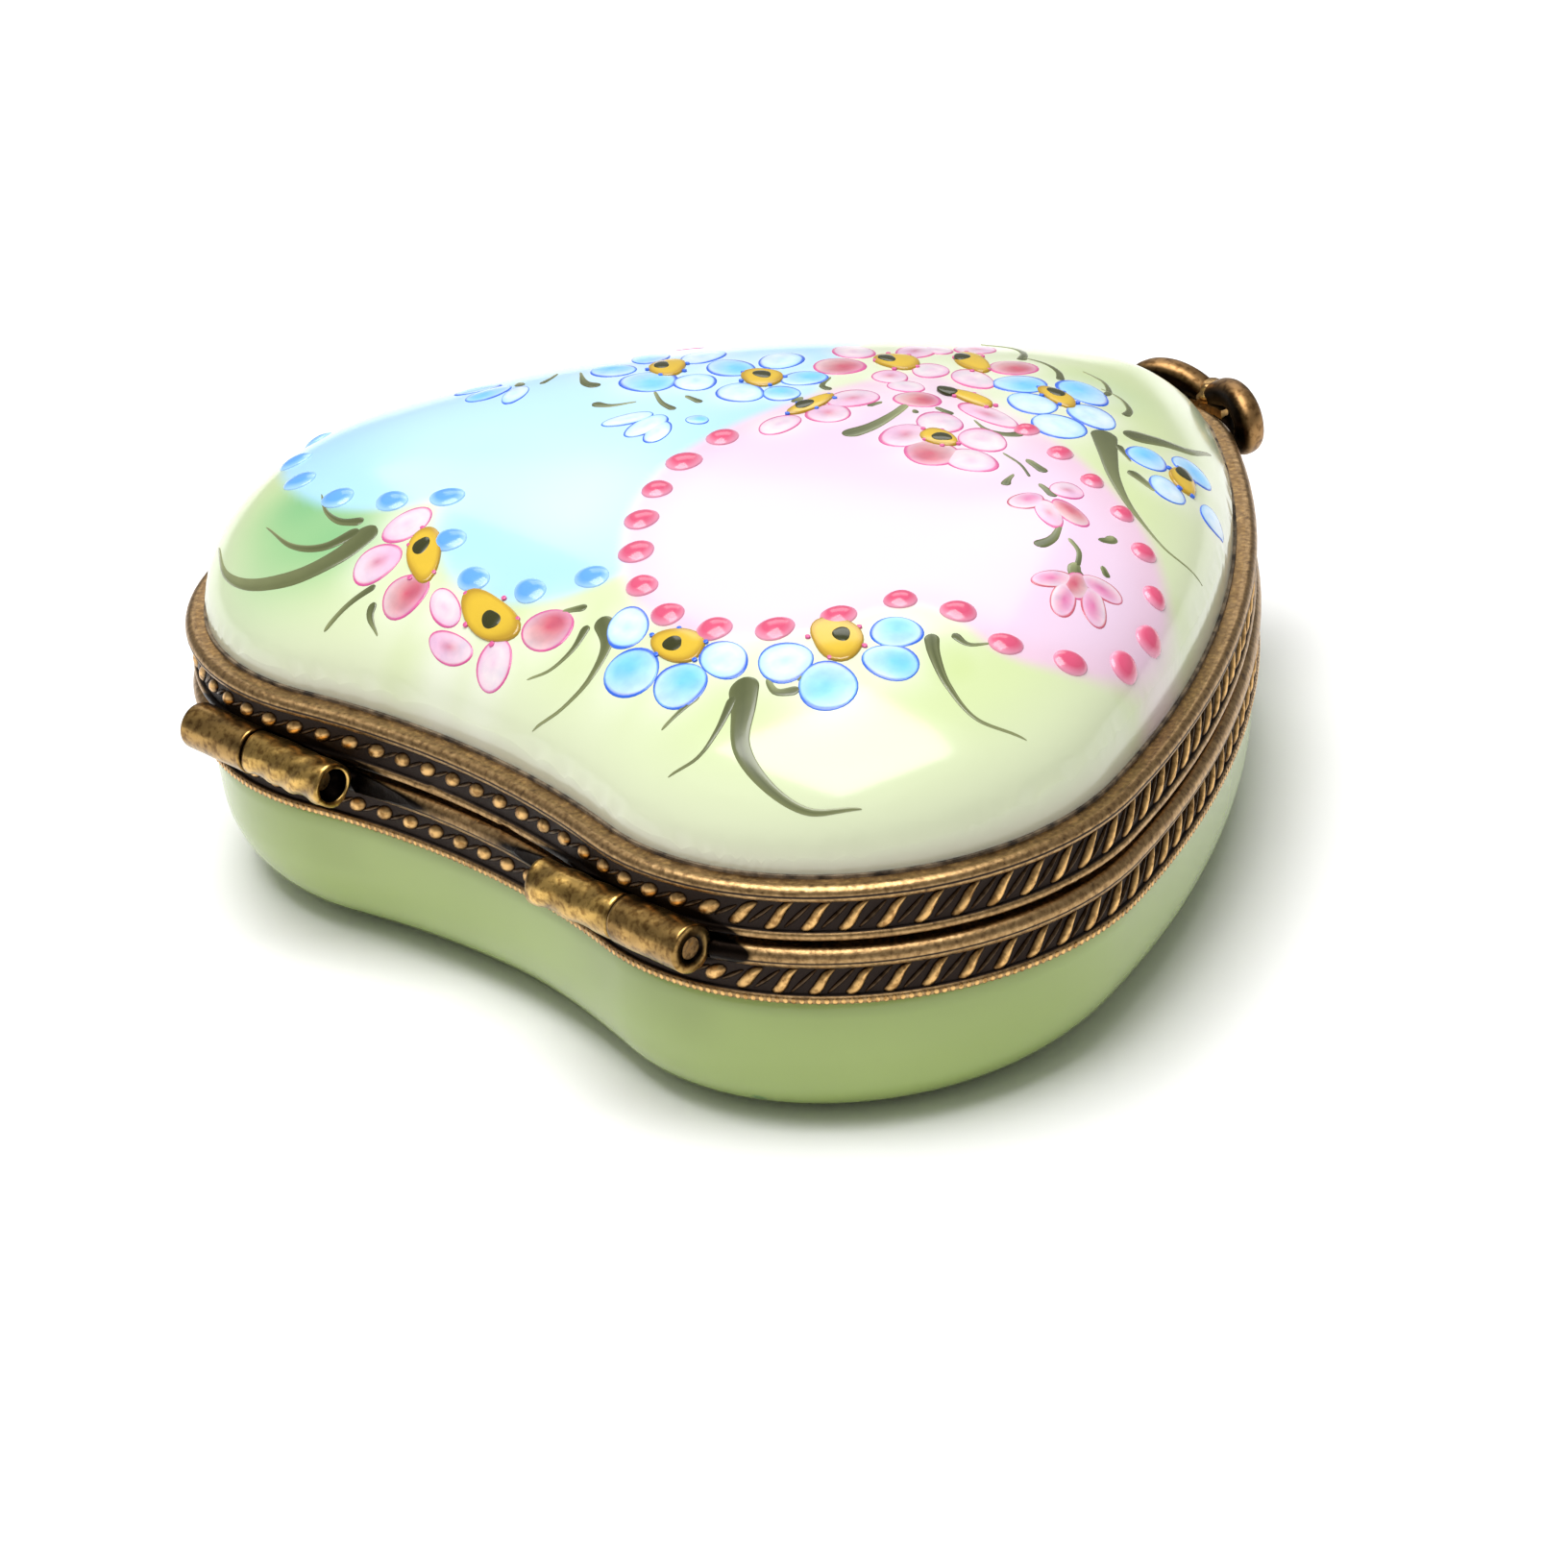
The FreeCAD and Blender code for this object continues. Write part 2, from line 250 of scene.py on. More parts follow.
BLUE_DOT = linear((96, 160, 244))
BLUE_DOT_EDGE = linear((168, 212, 252))


def mixed(first, second, share):
    share = np.asarray(share, float)[..., None]
    return first * (1 - share) + second * share


# ---- meshes

def placed(name, data):
    """A new object in the scene."""
    made = bpy.data.objects.new(name, data)
    bpy.context.scene.collection.objects.link(made)
    return made


class Build:
    """Gathers closed patches of one finish into a single mesh. Its points are in millimetres."""

    def __init__(self):
        self.verts, self.faces, self.colours = [], [], []

    def rows(self, rows, colours=(), hollow=False):
        """Joins rings of points into a skin with flat ends, or, when hollow, back to the first ring."""
        start, length = len(self.verts), len(rows[0])
        for gathered, given in ((self.verts, rows), (self.colours, colours)):
            for row in given:
                gathered.extend(np.asarray(row).tolist())
        for j in range(len(rows) if hollow else len(rows) - 1):
            near, far = start + j * length, start + (j + 1) % len(rows) * length
            for i in range(length):
                k = (i + 1) % length
                self.faces.append((near + i, near + k, far + k, far + i))
        if not hollow:
            last = start + (len(rows) - 1) * length
            self.faces.append(tuple(start + i for i in reversed(range(length))))
            self.faces.append(tuple(last + i for i in range(length)))

    def piece(self, name, *finishes):
        """The smooth mesh object, with a colour at each point if colours were given."""
        mesh = bpy.data.meshes.new(name)
        mesh.from_pydata((np.asarray(self.verts) * MM).tolist(), [], self.faces)
        for finish in finishes:
            mesh.materials.append(finish)
        if self.colours:
            layer = mesh.color_attributes.new("paint", "FLOAT_COLOR", "POINT")
            layer.data.foreach_set("color", np.asarray(self.colours, np.float32).ravel())
        mesh.polygons.foreach_set("use_smooth", [True] * len(mesh.polygons))
        mesh.update()
        return placed(name, mesh)


def heart_ring(inset, height):
    """A ring of points a given distance inside the outline."""
    ring = OUTLINE - inset * OUTWARD
    return np.column_stack([ring, np.full(AROUND, height)])


def shrunk_ring(inset, share):
    """Plan points of a ring drawn in towards the heart's middle."""
    ring = OUTLINE - inset * OUTWARD
    middle = np.array(HEART_MIDDLE)
    return middle + (ring - middle) * share


# ---- materials

class Finish:
    """A material in the making."""

    def __init__(self, name):
        self.made = bpy.data.materials.new(name)
        self.made.use_nodes = True
        self.tree = self.made.node_tree

    def feed(self, node, inputs):
        """Fills a node's inputs; each may be a value or another node's output."""
        for key, value in inputs.items():
            if isinstance(value, bpy.types.NodeSocket):
                self.tree.links.new(value, node.inputs[key])
            else:
                node.inputs[key].default_value = value

    def add(self, kind, inputs, output, **settings):
        """Output of a new node."""
        node = self.tree.nodes.new("ShaderNode" + kind)
        for setting, value in settings.items():
            setattr(node, setting, value)
        self.feed(node, inputs)
        return node.outputs[output]

    def place(self):
        """Object coordinates, so that a pattern stays with its piece."""
        return self.add("TexCoord", {}, "Object")

    def paint(self):
        """The colour stored at the mesh's points."""
        return self.add("Attribute", {}, "Color", attribute_name="paint")

    def noise(self, scale, detail=4.0):
        return self.add("TexNoise", {"Scale": scale, "Detail": detail, "Vector": self.place()}, "Fac")

    def level(self, source, low, high):
        """Share of the way from a low value to a high one."""
        return self.add("MapRange", {"Value": source, "From Min": low, "From Max": high}, "Result")

    def ramp(self, source, stops):
        """Colour ramp from (place, colour) stops."""
        node = self.tree.nodes.new("ShaderNodeValToRGB")
        elements = node.color_ramp.elements
        while len(elements) < len(stops):
            elements.new(0.5)
        for element, (place, colour) in zip(elements, stops):
            element.position, element.color = place, colour
        self.feed(node, {"Fac": source})
        return node.outputs["Color"]

    def mix(self, share, first, second, mode="MIX"):
        return self.add("Mix", {0: share, 6: first, 7: second}, 2, data_type="RGBA", blend_type=mode)

    def done(self, inputs, strength=0.0, distance=0.0, scale=1.0, detail=4.0):
        """Fills the shader's inputs and, given a strength, roughens the surface with fine noise."""
        shader = self.tree.nodes["Principled BSDF"]
        self.feed(shader, inputs)
        if strength:
            height = {"Strength": strength, "Distance": distance, "Height": self.noise(scale, detail)}
            self.feed(shader, {"Normal": self.add("Bump", height, "Normal")})
        return self.made


def grey(value):
    return (value, value, value, 1)


def glazed(name, roughness, variation, scale, colour=None, cloud_low=grey(0.93)):
    """Glaze or enamel: its painted colour, faint clouding and an uneven gloss."""
    finish = Finish(name)
    colour = finish.paint() if colour is None else colour
    cloud = finish.ramp(finish.noise(scale), [(0.3, cloud_low), (0.7, grey(1.0))])
    return finish.done({"Base Color": finish.mix(variation, colour, cloud, "MULTIPLY"), "IOR": 1.5,
                        "Roughness": roughness, "Coat Weight": 0.15, "Coat Roughness": 0.08},
                       strength=0.12, distance=0.00004, scale=260.0, detail=2.0)


def celadon():
    """Pale green glaze with a few small dark specks and slow clouds."""
    finish = Finish("celadon_glaze")
    green = finish.ramp(finish.noise(45.0, 3.0),
                        [(0.3, linear((146, 165, 90))), (0.7, linear((160, 180, 102)))])
    cells = finish.add("TexVoronoi", {"Scale": 210.0, "Vector": finish.place()}, "Distance")
    speck = finish.ramp(cells, [(0.05, grey(1)), (0.09, grey(0))])
    return finish.done({"Base Color": finish.mix(speck, green, linear((112, 150, 86))), "Roughness": 0.22,
                        "Coat Weight": 0.25, "Coat Roughness": 0.08},
                       strength=0.15, distance=0.00005, scale=400.0, detail=3.0)


BRASS_LIGHT = linear((196, 162, 114))
BRASS_MID = linear((158, 126, 84))
BRASS_DARK = linear((92, 72, 52))
PATINA = linear((52, 44, 40))


def brass(name, light, dark, roughness, grain, wear, shaded_round_hinge=False):
    """Aged brass: warm metal with dark speckles and a grainy surface."""
    finish = Finish(name)
    body = finish.ramp(finish.noise(4200.0, 5.0), [(0.22, dark), (wear, BRASS_MID), (0.75, light)])
    rough = finish.ramp(finish.noise(900.0, 3.0),
                        [(0.3, grey(roughness + 0.2)), (0.7, grey(roughness - 0.06))])
    # when asked, the metal round the hinge trough takes a painted shadow
    return finish.done({"Base Color": hinge_shadow(finish, body) if shaded_round_hinge else body, "Metallic": 1.0,
                        "Roughness": rough}, strength=grain, distance=0.00005, scale=2600.0)


# painted shade: near-black for the shadowed trough round the hinge axis and the hollow inside each knuckle's
# bore
HOLLOW_SHADE = linear((22, 16, 12))
TROUGH_RADIUS = 1.50
TROUGH_EDGE = 1.62


def hinge_shadow(finish, colour):
    """Darkens metal cut away round the hinge axis with painted shade: a painted shadow in the trough round
    the knuckles.
    """
    flat = finish.add("VectorMath", {0: finish.place(), 1: (0, 1, 1)}, 0, operation="MULTIPLY")
    axis = (0, HINGE_Y * MM, HINGE_Z * MM)
    gap = finish.add("VectorMath", {0: flat, 1: axis}, "Value", operation="DISTANCE")
    return finish.mix(finish.level(gap, TROUGH_EDGE * MM, TROUGH_RADIUS * MM), colour, HOLLOW_SHADE)


BAND_SOFTNESS = 0.05


def band_brass(name, low, high, dark_bands):
    """Gallery strip: bright beads, and a floor and grooves gone nearly black between given heights."""
    finish = Finish(name)
    up = finish.add("SeparateXYZ", {"Vector": finish.place()}, "Z")
    shades = []
    for start, end in dark_bands:
        shades += [(start - BAND_SOFTNESS, 0.0), (start, 1.0), (end, 1.0), (end + BAND_SOFTNESS, 0.0)]
    dark = finish.ramp(finish.level(up, low * MM, high * MM),
                       [((height - low) / (high - low), grey(shade)) for height, shade in shades])
    bright = finish.ramp(finish.noise(4200.0, 5.0),
                         [(0.22, BRASS_DARK), (0.45, BRASS_MID), (0.75, BRASS_LIGHT)])
    return finish.done({"Base Color": hinge_shadow(finish, finish.mix(dark, bright, PATINA)), "Metallic": 1.0,
                        "Roughness": finish.ramp(dark, [(0.0, grey(0.36)), (1.0, grey(0.6))])},
                       strength=0.4, distance=0.00006, scale=3200.0)


def painted_metal(name, roughness):
    """Raised brass ornament whose colour is given at each point: its tone, darker rims on the leaves and
    grains, and painted shade in the tube bores and on the ribbon's sides.
    """
    finish = Finish(name)
    speckle = finish.ramp(finish.noise(3200.0), [(0.35, (0.45, 0.4, 0.35, 1)), (0.55, grey(1))])
    return finish.done({"Base Color": finish.mix(1.0, finish.paint(), speckle, "MULTIPLY"), "Metallic": 1.0,
                        "Roughness": roughness}, strength=0.35, distance=0.00006, scale=1600.0, detail=3.0)


def cement():
    finish = Finish("dark_cement")
    colour = finish.ramp(finish.noise(1300.0, 6.0),
                         [(0.35, linear((44, 36, 28))), (0.62, linear((128, 112, 90)))])
    return finish.done({"Base Color": colour, "Roughness": 0.85}, strength=1.0, distance=0.0002, scale=1800.0)


LID_GLAZE = glazed("lid_glaze", roughness=0.16, variation=0.5, scale=60.0)
INSIDE_GLAZE = glazed("inside_glaze", roughness=0.14, variation=0.6, scale=40.0, colour=WHITE_GLAZE)
BASE_GLAZE = celadon()
ENAMEL = glazed("painted_enamel", roughness=0.16, variation=0.8, scale=900.0)
PETAL_PAINT = glazed("petal_paint", roughness=0.2, variation=1.0, scale=1400.0,
                     cloud_low=(0.80, 0.84, 0.90, 1))
LEAF_PAINT = glazed("leaf_paint", roughness=0.22, variation=0.9, scale=1500.0)
# the rim channels carry a painted shadow round the hinge trough
PLAIN_BRASS = brass("plain_brass", linear((204, 166, 108)), linear((128, 100, 68)),
                    roughness=0.34, grain=0.25, wear=0.5, shaded_round_hinge=True)
WORN_BRASS = brass("worn_brass", linear((208, 166, 96)), linear((108, 80, 42)),
                   roughness=0.30, grain=0.35, wear=0.42)
HINGE_WIRE = brass("hinge_wire", linear((170, 124, 62)), linear((60, 42, 24)),
                   roughness=0.34, grain=0.3, wear=0.5)
LEAF_BRASS = painted_metal("leaf_brass", roughness=0.36)
TUBE_BRASS = painted_metal("tube_brass", roughness=0.3)
RIBBON_BRASS = painted_metal("ribbon_brass", roughness=0.42)
CEMENT = cement()
# the dark floor of each strip and the groove above it, from the strip's lower or upper edge
FLOOR_START = 0.42
LID_FLOOR_END, LID_GROOVE = 0.74, (0.42, 0.36)
BASE_FLOOR_END, BASE_GROOVE = 0.97, (0.62, 0.58)


def strip_brass(name, low, high, floor_end, groove):
    dark_bands = [(low + FLOOR_START, high - floor_end), [high - drop for drop in groove]]
    return band_brass(name, low, high, dark_bands)


LID_STRIP = strip_brass("lid_strip_brass", lid_strip_low[2], lid_strip_high[2], LID_FLOOR_END, LID_GROOVE)
BASE_STRIP = strip_brass("base_strip_brass", strip_low[2], strip_high[2], BASE_FLOOR_END, BASE_GROOVE)


def dress(node, made):
    """Gives a CAD node a finish."""
    mesh = bpy.data.objects[node].data
    mesh.materials.clear()
    mesh.materials.append(made)


# ---- porcelain lid

WALL_RINGS = 5
ROLL_RINGS = 30
ROLL_DEPTH = 5.2
CROWN_RINGS = 46
INSIDE_ROLL_DEPTH = 3.6
INSIDE_ROLL_RINGS = 14
INSIDE_CROWN_RINGS = 26


def spread_depths(width, depth, count):
    """Depths from an upright edge inwards, close together where the surface is steep."""
    last = math.acos(1 - depth / width)
    return [width * (1 - math.cos(last * step / count)) for step in range(count + 1)]


def dome_rings(grid, inset, width, depth, count, crown_count):
    """Rings of a dome from its upright edge to the middle."""
    plans = [shrunk_ring(inset + offset, 1.0) for offset in spread_depths(width, depth, count)]
    for step in range(1, crown_count + 1):
        plans.append(shrunk_ring(inset + depth, max(1 - step / crown_count, 0.004)))
    return [np.column_stack([plan, sample(grid, plan[:, 0], plan[:, 1])]) for plan in plans]


CLOSED_STEPS = 12
OPEN_STEPS = 14


def span_points(p0, p1, p2, p3, steps):
    """Points from p1 up to p2 on a smooth curve through four points (Catmull-Rom)."""
    shares = [step / steps for step in range(steps)]
    return [0.5 * (2 * p1 + (p2 - p0) * t + (2 * p0 - 5 * p1 + 4 * p2 - p3) * t * t
                   + (3 * p1 - p0 - 3 * p2 + p3) * t ** 3) for t in shares]


def closed_curve(points):
    """Smooth closed curve through given points."""
    points = np.asarray(points, float)
    count = len(points)
    curve = []
    for index in range(count):
        curve += span_points(*(points[(index + shift) % count] for shift in (-1, 0, 1, 2)), CLOSED_STEPS)
    return np.array(curve)


def open_curve(points):
    """Smooth open curve through given points."""
    points = np.asarray(points, float)
    ends = np.vstack([2 * points[0] - points[1], points, 2 * points[-1] - points[-2]])
    curve = []
    for index in range(1, len(ends) - 2):
        curve += span_points(*ends[index - 1:index + 3], OPEN_STEPS)
    curve.append(points[-1])
    return np.array(curve)


# the two painted hearts, as closed lines anticlockwise in plan
PINK_HEART = [
    (3.0, 2.0), (2.6, 5.9), (1.5, 8.8), (-0.3, 11.5), (-2.6, 13.8), (-5.2, 15.5), (-8.0, 16.0),
    (-11.0, 15.3), (-13.3, 13.2), (-14.3, 10.8), (-15.7, 8.9), (-18.2, 8.5), (-20.9, 8.4), (-22.4, 6.3),
    (-22.6, 3.9), (-21.4, 1.1), (-19.5, -1.1), (-15.6, -3.6), (-9.4, -5.5), (-4.0, -6.6), (1.0, -7.4),
    (2.6, -3.5),
]
BLUE_HEART = [
    (9.8, 14.3), (7.6, 16.4), (4.2, 18.0), (0.6, 17.7), (-1.7, 15.9), (-2.6, 12.5), (-1.5, 8.0), (1.0, 2.5),
    (4.5, -3.5), (10.0, -11.0), (15.8, -7.0), (20.2, -1.8), (23.2, 4.0), (24.4, 9.5), (21.8, 13.9),
    (18.7, 16.0), (15.0, 16.8), (12.0, 16.0),
]


def signed_depth(x, y, curve):
    """Distance inside a closed curve, negative outside it."""
    nearest = np.full(x.shape, 1e9)
    inside = np.zeros(x.shape, bool)
    for start, end in zip(curve, np.roll(curve, -1, axis=0)):
        edge = end - start
        share = np.clip(((x - start[0]) * edge[0] + (y - start[1]) * edge[1]) / (edge @ edge), 0, 1)
        gap = np.hypot(x - start[0] - share * edge[0], y - start[1] - share * edge[1])
        nearest = np.minimum(nearest, gap)
        crosses = (start[1] > y) != (end[1] > y)
        rise = end[1] - start[1] if end[1] != start[1] else 1e-9
        inside ^= crosses & (x < edge[0] * (y - start[1]) / rise + start[0])
    return np.where(inside, nearest, -nearest)


def patch(x, y, centre, reach):
    """Soft round patch of a wash."""
    return np.exp(-((x - centre[0]) ** 2 + (y - centre[1]) ** 2) / reach ** 2)


# green washes on the ground: centre, reach, strength
GREEN_PATCHES = [
    ((-20.0, 11.5), 3.6, 0.9), ((-23.3, 4.0), 3.2, 0.8), ((-20.5, -2.0), 3.0, 0.7),
    ((-10.5, 20.3), 4.2, 0.7), ((-4.0, 20.5), 3.4, 0.6), ((4.5, 21.5), 4.0, 0.7),
    ((-15.5, -6.5), 4.0, 0.35), ((-3.0, -14.0), 4.5, 0.8), ((22.0, 17.0), 4.0, 0.8),
    ((20.0, -2.0), 5.0, 0.5), ((12.0, -12.0), 5.0, 0.6), ((3.0, -18.0), 4.0, 0.6), ((24.5, 8.0), 3.5, 0.6),
]
MINT_PATCHES = [
    ((16.3, 17.2), 3.2, 0.95), ((12.6, 18.6), 2.6, 0.85), ((14.8, 20.2), 2.4, 0.45),
    ((-4.5, -13.0), 2.2, 0.25),
]


# the glaze darkens above the metal: strength and reach; and it is paler round the petals
RIM_TINTS = ((0.22, 2.6), (0.55, 1.0))
HALO_REACH = 0.62
HALO_STRENGTH = 0.6


def lid_paint(points):
    """Colour of the lid at each point: the ground with its washes, and the two painted hearts."""
    x, y = points[:, 0], points[:, 1]
    depth = sample(depth_grid, x, y)
    green = 0.50 + 0.30 * np.exp(-((depth - 5.0) / 3.0) ** 2)
    for centre, reach, strength in GREEN_PATCHES:
        green = np.maximum(green, strength * patch(x, y, centre, reach))
    colour = mixed(WHITE_GLAZE, GREEN_WASH, np.clip(green, 0, 1))
    for centre, reach, strength in MINT_PATCHES:
        colour = mixed(colour, MINT, strength * patch(x, y, centre, reach))
    halo = np.zeros_like(x)
    for middle, size, _, _ in PINK_PETALS + BLUE_PETALS:
        halo = np.maximum(halo, patch(x, y, middle, max(size) * HALO_REACH))
    above_metal = np.maximum(points[:, 2] - lid_strip_high[2], 0)
    for strength, reach in RIM_TINTS:
        colour = mixed(colour, RIM_GLAZE, strength * np.exp(-(above_metal / reach) ** 2))
    blue_depth = signed_depth(x, y, closed_curve(BLUE_HEART))
    blue = mixed(BLUE_FIELD, BLUE_PALE, smooth_step((blue_depth - 1.0) / 6.0))
    colour = mixed(colour, blue, smooth_step((blue_depth + 0.9) / 1.0))
    pink_depth = signed_depth(x, y, closed_curve(PINK_HEART))
    pink = mixed(PINK_EDGE, PINK_FIELD, smooth_step((pink_depth + 0.3) / 2.2))
    colour = mixed(colour, pink, smooth_step((pink_depth + 1.1) / 1.0))
    return mixed(colour, WHITE_GLAZE, HALO_STRENGTH * halo)


def make_lid():
    rim_bottom = shell_low[2]
    edge = dome_rings(outer_dome, RIM_INSET, SHOULDER_WIDTH, ROLL_DEPTH, ROLL_RINGS, CROWN_RINGS)
    inner = dome_rings(inner_dome, LID_INSIDE_INSET, INSIDE_SHOULDER_WIDTH, INSIDE_ROLL_DEPTH,
                       INSIDE_ROLL_RINGS, INSIDE_CROWN_RINGS)
    wall = []
    for step in range(WALL_RINGS):
        ring = heart_ring(RIM_INSET, 0)
        ring[:, 2] = rim_bottom + (edge[0][:, 2] - rim_bottom) * (step / WALL_RINGS)
        wall.append(ring)
    inner_wall = [heart_ring(LID_INSIDE_INSET, rim_bottom)]
    rows = list(reversed(inner)) + inner_wall + wall + edge
    colours = [np.tile(WHITE_GLAZE, (AROUND, 1)) for _ in range(len(inner) + 1)]
    colours += [lid_paint(row) for row in wall + edge]
    build = Build()
    build.rows(rows, colours)
    piece = build.piece("porcelain_lid", LID_GLAZE)
    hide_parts("lid_shell")
    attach(piece, "lid")


# ---- painting on the lid: raised enamel and brush strokes

def circle(count):
    return np.linspace(0, 2 * math.pi, count, endpoint=False)


def turned(along, across, turn):
    """Plan lengths turned by an angle in degrees."""
    cos_turn, sin_turn = math.cos(math.radians(turn)), math.sin(math.radians(turn))
    return along * cos_turn - across * sin_turn, along * sin_turn + across * cos_turn


def fall_line(place):
    """How far the dome's normal leans from upright, and which way in plan."""
    normal = on_dome(*place, 1.0) - on_dome(*place)
    return 1 - normal[2], normal[:2] / max(np.linalg.norm(normal[:2]), 1e-6)


SINK = 0.05
PETAL_SHARES = (0.0, 0.3, 0.55, 0.72, 0.80, 0.86, 0.90, 0.95, 1.0)
OUTLINE_START = 0.88
PETAL_SEGMENTS = 30
PETAL_POWER = 2.6
MIDDLE_SHARE = 0.02


def oval(build, centre, size, turn, lift, tints, base=0.02, wobble=0.04, follow=False, paleness=0.0):
    """A domed oval of enamel; tints gives its colour from the middle to the rim, paler on one side.

    When it follows the dome, it is shortened in plan down the slope, so that it stays round.
    """
    angles = circle(PETAL_SEGMENTS)
    phase = [rng.uniform(0, 2 * math.pi) for _ in range(3)]
    swell = 1 + wobble * (np.sin(2 * angles + phase[0]) + 0.7 * np.sin(3 * angles + phase[1]))
    shares = [share for share, _ in tints]
    rows, colours = [], []
    shortening, downhill = fall_line(centre)

    def ring(share, height):
        reach = share * swell / 2
        x, y = turned(size[0] * reach * np.cos(angles), size[1] * reach * np.sin(angles), turn)
        shorter = (x * downhill[0] + y * downhill[1]) * (shortening if follow else 0.0)
        x = centre[0] + x - shorter * downhill[0]
        y = centre[1] + y - shorter * downhill[1]
        return on_dome(x, y, np.full_like(x, height))

    def tint(share):
        uneven = np.clip(share + 0.05 * np.sin(2 * angles + phase[2]) * (share > 0.2), 0, 1)
        stack = np.array([colour for _, colour in tints])
        wash = np.column_stack([np.interp(uneven, shares, stack[:, channel]) for channel in range(4)])
        if share > OUTLINE_START:
            return wash
        return mixed(wash, WHITE_GLAZE, paleness * share ** 0.5 * (1 + np.cos(angles + phase[0])) / 2)

    for share in PETAL_SHARES:
        share = max(share, MIDDLE_SHARE)
        height = base + lift * (1 - share ** PETAL_POWER) if share < 1 else -SINK
        rows.append(ring(share, height))
        colours.append(tint(share))
    rows.append(ring(MIDDLE_SHARE, -SINK - 0.03))
    colours.append(tint(MIDDLE_SHARE))
    build.rows(rows, colours)


STROKE_STEP = 0.12
STROKE_LIFT = 0.03
STROKE_FADE = 0.6
STROKE_TAPER = 1.7
STROKE_SECTION = (-1.0, -0.8, -0.45, 0.0, 0.45, 0.8, 1.0)


def stroke(build, points, start_width, end_width):
    """A brush stroke from a full start to a thin end, with bristle streaks."""
    drawn = open_curve(points)
    travelled = np.concatenate([[0], np.cumsum(np.linalg.norm(np.diff(drawn, axis=0), axis=1))])
    length = travelled[-1]
    count = max(16, round(length / STROKE_STEP))
    share = (1 - np.cos(np.linspace(0, math.pi, count))) / 2
    line = np.column_stack([np.interp(share * length, travelled, drawn[:, axis]) for axis in (0, 1)])
    ahead = np.gradient(line, axis=0)
    ahead /= np.linalg.norm(ahead, axis=1, keepdims=True)
    side = np.column_stack([-ahead[:, 1], ahead[:, 0]])
    width = (end_width + (start_width - end_width) * (1 - share) ** STROKE_TAPER) / 2
    start_round = min(0.5 * start_width / length, 0.45)
    end_round = min(0.5 * end_width / length + 0.08, 0.5)
    for reach, rounding in ((share, start_round), (1 - share, end_round)):
        width = width * np.sqrt(np.clip(1 - (1 - np.minimum(reach / rounding, 1)) ** 2, 0.01, 1))
    streaks = [rng.uniform(-0.25, 0.25) for _ in STROKE_SECTION]
    top, top_colours = [], []
    for offset, streak in zip(STROKE_SECTION, streaks):
        plan = line + side * (width * offset)[:, None]
        edge = abs(offset) == 1.0
        height = np.where(np.full(count, edge), -0.03, STROKE_LIFT * (1 - 0.35 * abs(offset)))
        top.append(on_dome(plan[:, 0], plan[:, 1], height))
        wash = np.clip(STROKE_FADE * share ** 1.5 + streak * (0.3 + share) + 0.15 * abs(offset), 0, 1)
        top_colours.append(mixed(LEAF, LEAF_PALE, wash))
    under = [on_dome(*(line + side * (width * offset * 0.9)[:, None]).T, np.full(count, -SINK - 0.04))
             for offset in (1.0, -1.0)]
    rows = np.array(top + under).transpose(1, 0, 2)
    colours = np.array(top_colours + [top_colours[-1], top_colours[0]]).transpose(1, 0, 2)
    build.rows(rows, colours)


def petal_tints(inside, middle, edge, line):
    """Colours of a petal from its middle out to the thin line round it."""
    return [(0.0, inside), (0.5, middle), (0.84, edge), (0.90, line), (1.0, line)]


KINDS = {
    "open": petal_tints(mixed(PINK_WASH, WHITE_GLAZE, 0.2), mixed(PINK_WASH, WHITE_GLAZE, 0.5), PINK_WASH,
                        PINK_LINE),
    "half": petal_tints(mixed(PINK_FILL, PINK_WASH, 0.35), PINK_WASH, PINK_WASH, PINK_LINE),
    "solid": petal_tints(PINK_FILL, PINK_FILL, mixed(PINK_FILL, PINK_WASH, 0.45), PINK_LINE),
    "rose": petal_tints(mixed(PINK_LINE, PINK_WASH, 0.15), mixed(PINK_LINE, PINK_WASH, 0.45), PINK_WASH,
                        PINK_FILL),
    "clear": petal_tints(mixed(BLUE_WATER, BLUE_WASH, 0.3), BLUE_WATER, mixed(BLUE_WATER, BLUE_WASH, 0.5),
                         BLUE_LINE),
    "full": petal_tints(BLUE_WASH, BLUE_WASH, mixed(BLUE_WASH, BLUE_WATER, 0.3), BLUE_LINE),
}
GOLD_TINTS = [(0.0, GOLD), (0.7, GOLD), (0.9, DARK_GOLD), (1.0, DARK_GOLD)]
EYE_TINTS = [(0.0, EYE), (1.0, EYE)]

